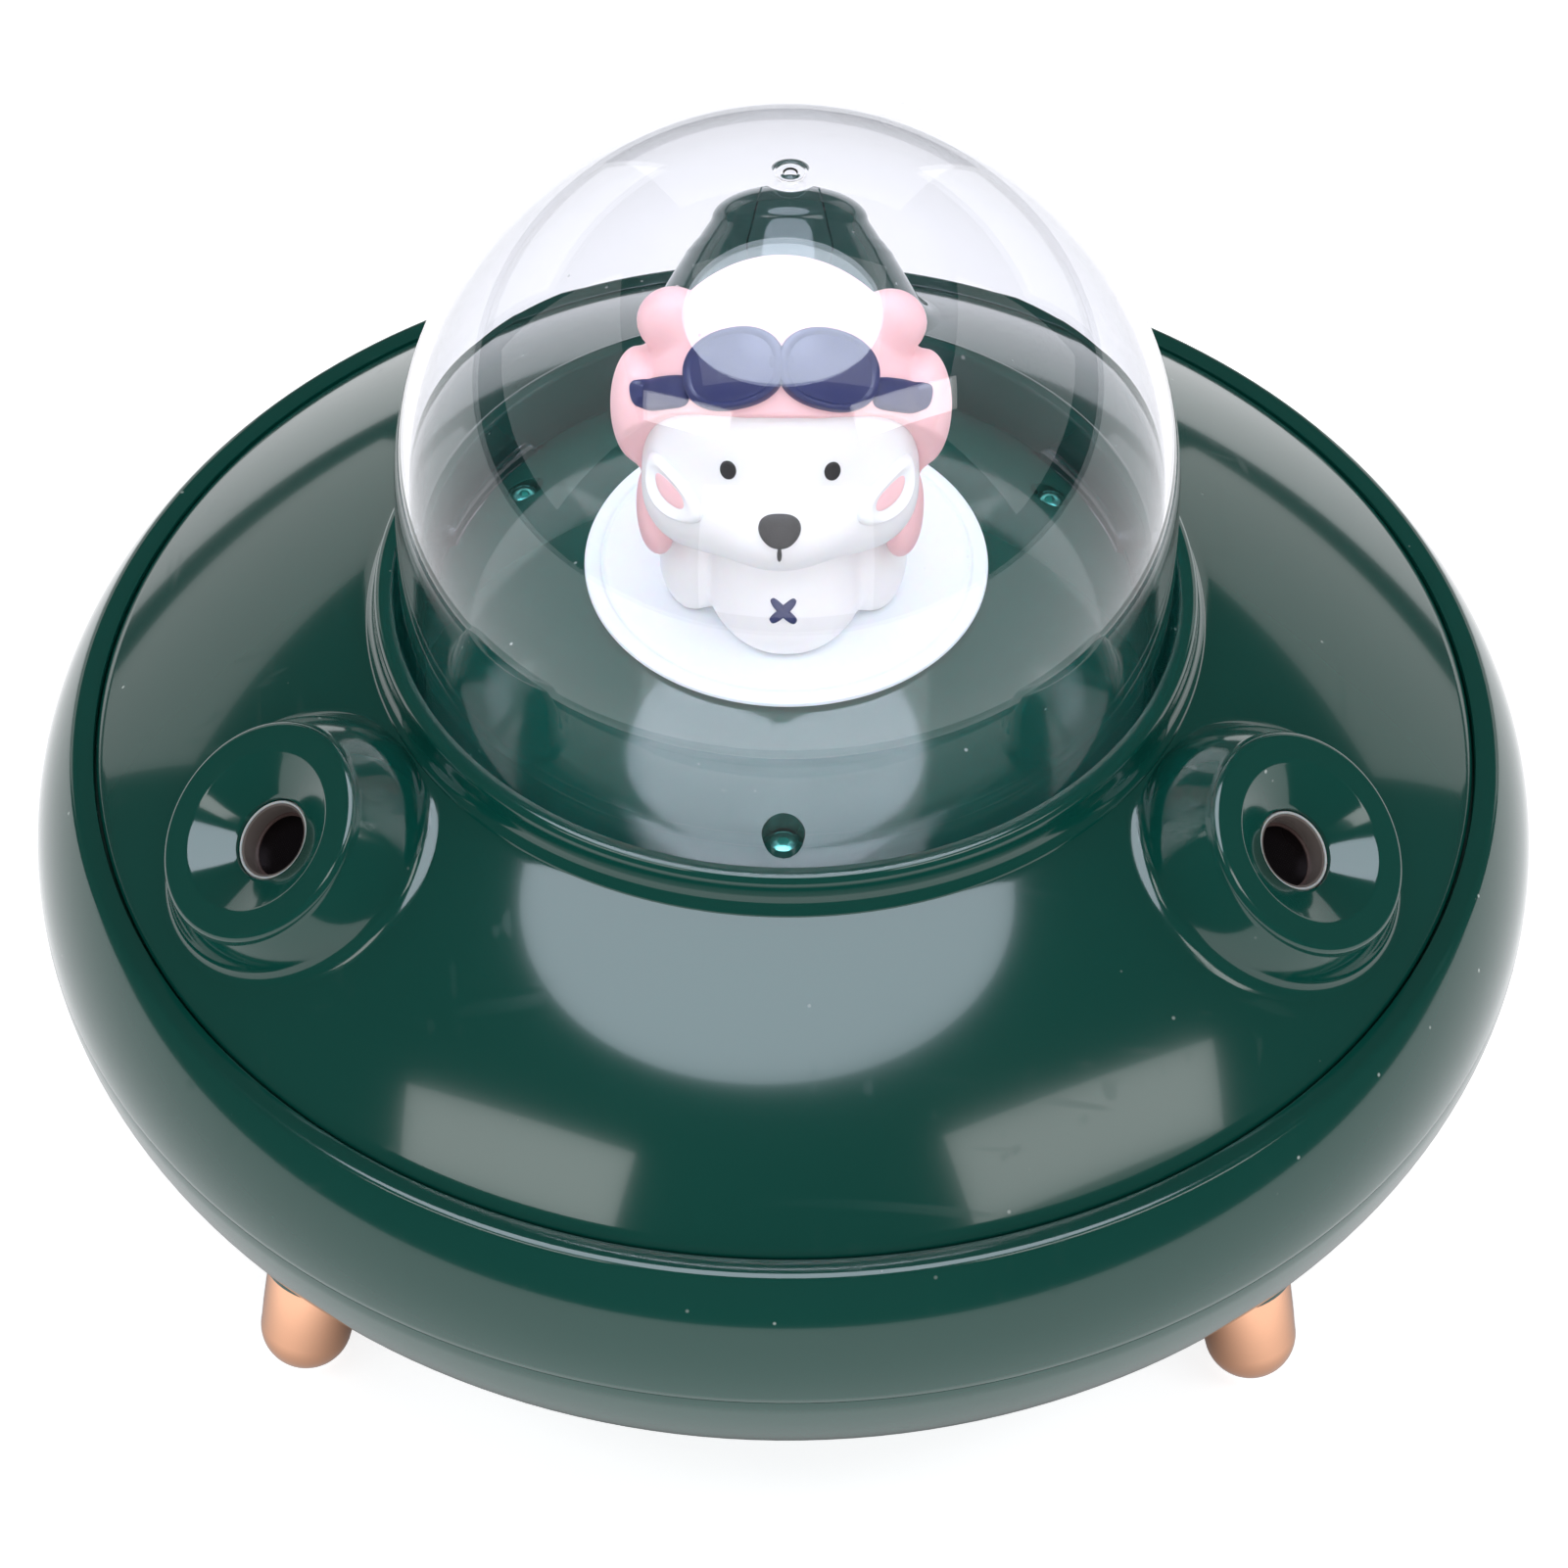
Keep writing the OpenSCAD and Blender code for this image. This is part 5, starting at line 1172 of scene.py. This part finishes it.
def set_out_tree():
    """Copies of one made piece on the corners of a layout mesh, turned by its facing attribute."""
    tree, ins, outs = new_tree("set_out_copies")
    keys = {"Piece": value_input(tree, "Piece", "NodeSocketObject"),
            "Size": value_input(tree, "Size", "NodeSocketFloat", 1.0),
            "Finish": value_input(tree, "Finish", "NodeSocketMaterial")}
    info = add(tree, "GeometryNodeObjectInfo", Object=ins.outputs["Piece"], As_Instance=True)
    facing = tree.nodes.new("GeometryNodeInputNamedAttribute")
    facing.data_type = "FLOAT_VECTOR"
    facing.inputs["Name"].default_value = "facing"
    turn = add(tree, "FunctionNodeEulerToRotation", Euler=[o for o in facing.outputs if o.enabled][0])
    copies = add(tree, "GeometryNodeInstanceOnPoints", Points=ins.outputs["Geometry"],
                 Instance=info.outputs["Geometry"], Rotation=turn.outputs[0], Scale=ins.outputs["Size"])
    close_tree(tree, ins, outs, copies.outputs[0])
    return tree, keys


def run_tree(tree, keys, layout, values):
    """The plain mesh that a tree makes from a layout mesh."""
    holder = bpy.data.objects.new("layout", layout)
    scene.collection.objects.link(holder)
    step = holder.modifiers.new("make", "NODES")
    step.node_group = tree
    for name, value in values.items():
        step[keys[name]] = value
    evaluated = holder.evaluated_get(bpy.context.evaluated_depsgraph_get())
    mesh = bpy.data.meshes.new_from_object(evaluated)
    holder.modifiers.remove(step)
    bpy.data.objects.remove(holder)
    return mesh


def layout_mesh(matrices):
    """A mesh of loose corners at the matrices' places (mm), with each one's turn as facing."""
    mesh = bpy.data.meshes.new("layout")
    mesh.from_pydata([tuple(m.translation * MM) for m in matrices], [], [])
    facing = mesh.attributes.new("facing", "FLOAT_VECTOR", "POINT")
    for i, m in enumerate(matrices):
        facing.data[i].vector = m.to_euler()
    return mesh


SET_OUT, SET_OUT_KEYS = set_out_tree()


def set_out(name, shape, matrices, material, body, nodes):
    """Copies of shape (mm) at the matrices, as one piece."""
    mesh = mesh_of("pattern", shape, MM)
    mesh.shade_smooth()
    mesh.set_sharp_from_angle(angle=radians(30))
    pattern = bpy.data.objects.new("pattern", mesh)
    scene.collection.objects.link(pattern)
    made = run_tree(SET_OUT, SET_OUT_KEYS, layout_mesh(matrices), {"Piece": pattern, "Size": 1.0, "Finish": material})
    bpy.data.objects.remove(pattern)
    made.name = name
    return settled(name, made, body, nodes)


def screw_shape(shank, head_r=2.6, head_h=1.6, shank_r=1.25, six_point=False):
    """A screw on its shank's end: thread ridges, domed head, cross or six-sided recess."""
    side = [(0.0, 0.0), (shank_r * 0.7, 0.05)]
    z = 0.5
    while z < shank - 0.9:
        side += [(shank_r - 0.18, z), (shank_r, z + 0.22), (shank_r - 0.18, z + 0.44)]
        z += 0.55
    side += [(shank_r - 0.1, shank), (head_r - 0.25, shank), (head_r, shank + 0.2), (head_r, shank + head_h * 0.35)]
    side += [(head_r * cos(radians(t)), shank + head_h * (0.35 + 0.65 * sin(radians(t)))) for t in (20, 40, 60, 78)]
    solid = turned(side + [(0.0, shank + head_h)], 28)
    if six_point:
        tools = [extruded([(0.75 * cos(radians(t)), 0.75 * sin(radians(t))) for t in range(0, 360, 60)],
                          shank + head_h - 0.7, shank + head_h + 1)]
    else:
        tools = [placed(extruded([(-1.5, -0.25), (1.5, -0.25), (1.5, 0.25), (-1.5, 0.25)], shank + head_h - 0.8,
                                 shank + head_h + 1), spin(a)) for a in (0, 90)]
    return combined(solid, tools)


def repeated_pieces():
    foot_azimuths = sorted(FEET.values())
    deck_shank, cover_shank = deck_z(DECK_SCREW_R) - 1.9 - LEDGE_Z + 1, 7.5
    set_out("deck_screw_set", screw_shape(deck_shank, 2.05, 1.15, six_point=True),
            [spin(a) @ shift(0, -DECK_SCREW_R, LEDGE_Z - 1) for a in THIRDS], teal_steel, "lid", ["deck_screws"])
    set_out("foot_screw_set", screw_shape(11.0), [at_foot(a) @ shift(0, 0, FOOT_H - 6) for a in foot_azimuths],
            bright_steel, "base", ["foot_screws"])
    set_out("cover_screw_set", screw_shape(cover_shank),
            [spin(a) @ shift(0, -COVER_SCREW_R, SPIGOT_Z + 1 + cover_shank) @ spin(180, "X") for a in COVER_SCREWS],
            bright_steel, "lid", ["under_cover_screws"])
    pad = turned([(0.0, 0.02), (1.0, 0.02), (1.4, 0.0), (PAD_R - 0.3, 0.0), (PAD_R - 0.08, 0.06), (PAD_R, 0.28),
                  (PAD_R, 1.2), (PAD_R - 0.1, 1.36), (0.0, 1.36)], 40)
    set_out("foot_pad_set", pad, [spin(a) @ shift(FOOT_RAD, 0, 0) for a in foot_azimuths], pad_rubber, "base",
            ["foot_pads"])
    led = extruded([(-1.7, -1.7), (1.7, -1.7), (1.7, 1.7), (-1.7, 1.7)], 0.0, 1.0)
    lens = turned([(0, 0.9), (1.4, 0.9), (1.35, 1.15), (0.9, 1.36), (0.0, 1.4)], 28)
    board_z, led_ring = deck_z(LAMP_R) - 7, LAMP_SPIGOT - 2.4 - 4.75
    set_out("lamp_led_set", merged(led, lens), [spin(a) @ shift(0, -led_ring, board_z) for a in range(0, 360, 60)],
            led_white, "lid", ["lamp_leds"])


repeated_pieces()


def mist_unit(side, word):
    """Seal ring and mist disc of one nozzle."""
    matrix = at_nozzle(side)
    seal_profile = [(4.6, SEAL_TOP - 1.28), (4.6, SEAL_TOP + 0.9), (4.68, SEAL_TOP + 1.05), (4.85, SEAL_TOP + 1.1),
                    (4.98, SEAL_TOP + 0.95), (5.0, SEAL_TOP), (9.1, SEAL_TOP - 0.05), (9.2, SEAL_TOP - 0.2),
                    (9.2, SEAL_TOP - 2.8), (9.0, SEAL_TOP - 3.0), (7.0, SEAL_TOP - 3.0), (7.0, SEAL_TOP - 2.1),
                    (8.05, SEAL_TOP - 2.05), (8.05, SEAL_TOP - 1.28)]
    lining = turned([(4.3, SEAL_TOP - 1.28), (4.3, SEAL_TOP + 0.75), (4.38, SEAL_TOP + 0.9), (4.62, SEAL_TOP + 0.95),
                     (4.62, SEAL_TOP - 1.28)], 96)
    piece("mist_seal_ring_" + word, [(placed(turned(seal_profile, 96), matrix), silicone),
                                     (placed(lining, matrix), smoky_silicone)], "lid",
          ["mist_seal_" + word])
    top = SEAL_TOP - 1.3
    plate = turned([(0.0, top - 0.7), (8.0, top - 0.7), (8.0, top - 0.22), (3.9, top - 0.2), (2.4, top - 0.12),
                    (0.0, top - 0.02)], 96)
    collar = turned([(3.9, top - 0.22), (3.94, top - 0.04), (4.05, top), (7.9, top), (8.0, top - 0.1),
                     (8.0, top - 0.22)], 96)
    cup = turned([(0.0, 0.03), (0.05, 0.03), (0.08, 0.0), (0.0, -0.04)], 6)
    across, rows_apart, pore_field, dimple = 0.34, 0.295, 3.0, 2.2
    pores = []
    for i in range(-9, 10):
        for j in range(-9, 10):
            x, y = (i + 0.5 * (j % 2)) * across, j * rows_apart
            r = hypot(x, y)
            if r < pore_field:
                drop = 0.02 + 0.10 * r / dimple if r < dimple else 0.12 + 0.07 * (r - dimple)
                pores.append(matrix @ shift(x, y, top - drop))
    piece("mist_disc_plate_" + word, [(placed(plate, matrix), disc_steel), (placed(collar, matrix), disc_ceramic)],
          "lid", ["mist_disc_" + word])
    set_out("mist_disc_pores_" + word, cup, pores, disc_steel, "lid", [])


mist_unit(-1, "left")
mist_unit(1, "right")

# ---------------------------------------------------------------- pieces that keep their drawn shape

KEPT = {
    "under_cover": matt_green, "lamp_board": board_green, "lamp_board_screws": bright_steel,
    "figure_screw": bright_steel, "wick_holder_left": tank_clear, "wick_holder_right": tank_clear,
    "holder_nut_left": matt_green, "holder_nut_right": matt_green, "wick_left": cotton_white,
    "wick_right": cotton_white, "wick_spring_left": bright_steel, "wick_spring_right": bright_steel,
    "wick_plug_left": matt_green, "wick_plug_right": matt_green, "control_board": board_green,
    "board_parts": black_plastic, "board_screws": bright_steel, "usb_socket": bright_steel,
    "button_board": board_green, "tact_switch": black_plastic, "lead_lamp": wire_white, "lead_left": wire_white,
    "lead_right": wire_white, "switch_plunger": silicone,
}
for node_name, material in KEPT.items():
    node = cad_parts[node_name]
    for slot_index in range(max(1, len(node.material_slots))):
        if slot_index < len(node.material_slots):
            node.material_slots[slot_index].material = material
        else:
            node.data.materials.append(material)

# ---------------------------------------------------------------- floor


def floor_material():
    """Pale paper. In reflections it carries a painted shadow: dim close to the object, as where the light doesn't
    reach.
    """
    material, tree, shader = finish("studio_floor", Roughness=0.85, Specular_IOR_Level=0.2)
    place = tree.nodes.new("ShaderNodeTexCoord").outputs["Object"]
    paper = add(tree, "ShaderNodeTexNoise", Vector=place, Scale=900.0, Detail=3.0)
    tree.links.new(tint(tree, paper.outputs["Fac"], (0.73, 0.73, 0.735), (0.75, 0.75, 0.755)),
                   shader.inputs["Base Color"])
    shader.inputs["Emission Color"].default_value = (0.99, 0.99, 1.0, 1)
    shader.inputs["Emission Strength"].default_value = 0.75
    # Painted shadow: what glossy rays see of the floor is dimmed to 0.05 within 74 mm of its middle, rising to 1.25 by
    # 112 mm.
    far = tree.nodes.new("ShaderNodeVectorMath")
    far.operation = "LENGTH"
    tree.links.new(place, far.inputs[0])
    painted_reflection_shadow = add(tree, "ShaderNodeEmission", Color=(0.98, 0.98, 1.0, 1),
               Strength=ramp(tree, far.outputs["Value"], 0.05, 1.25, 0.074, 0.112))
    glossy = tree.nodes.new("ShaderNodeLightPath").outputs["Is Glossy Ray"]
    both = add(tree, "ShaderNodeMixShader", Fac=glossy, i1=shader.outputs[0], i2=painted_reflection_shadow.outputs[0])
    tree.links.new(both.outputs[0], tree.nodes["Material Output"].inputs["Surface"])
    return material


floor_mesh = bpy.data.meshes.new("floor")
FLOOR_HALF = 4
floor_mesh.from_pydata([(x * FLOOR_HALF, y * FLOOR_HALF, 0) for x, y in ((-1, -1), (1, -1), (1, 1), (-1, 1))], [],
                       [(0, 1, 2, 3)])
floor_mesh.materials.append(floor_material())
floor = bpy.data.objects.new("floor", floor_mesh)
scene.collection.objects.link(floor)
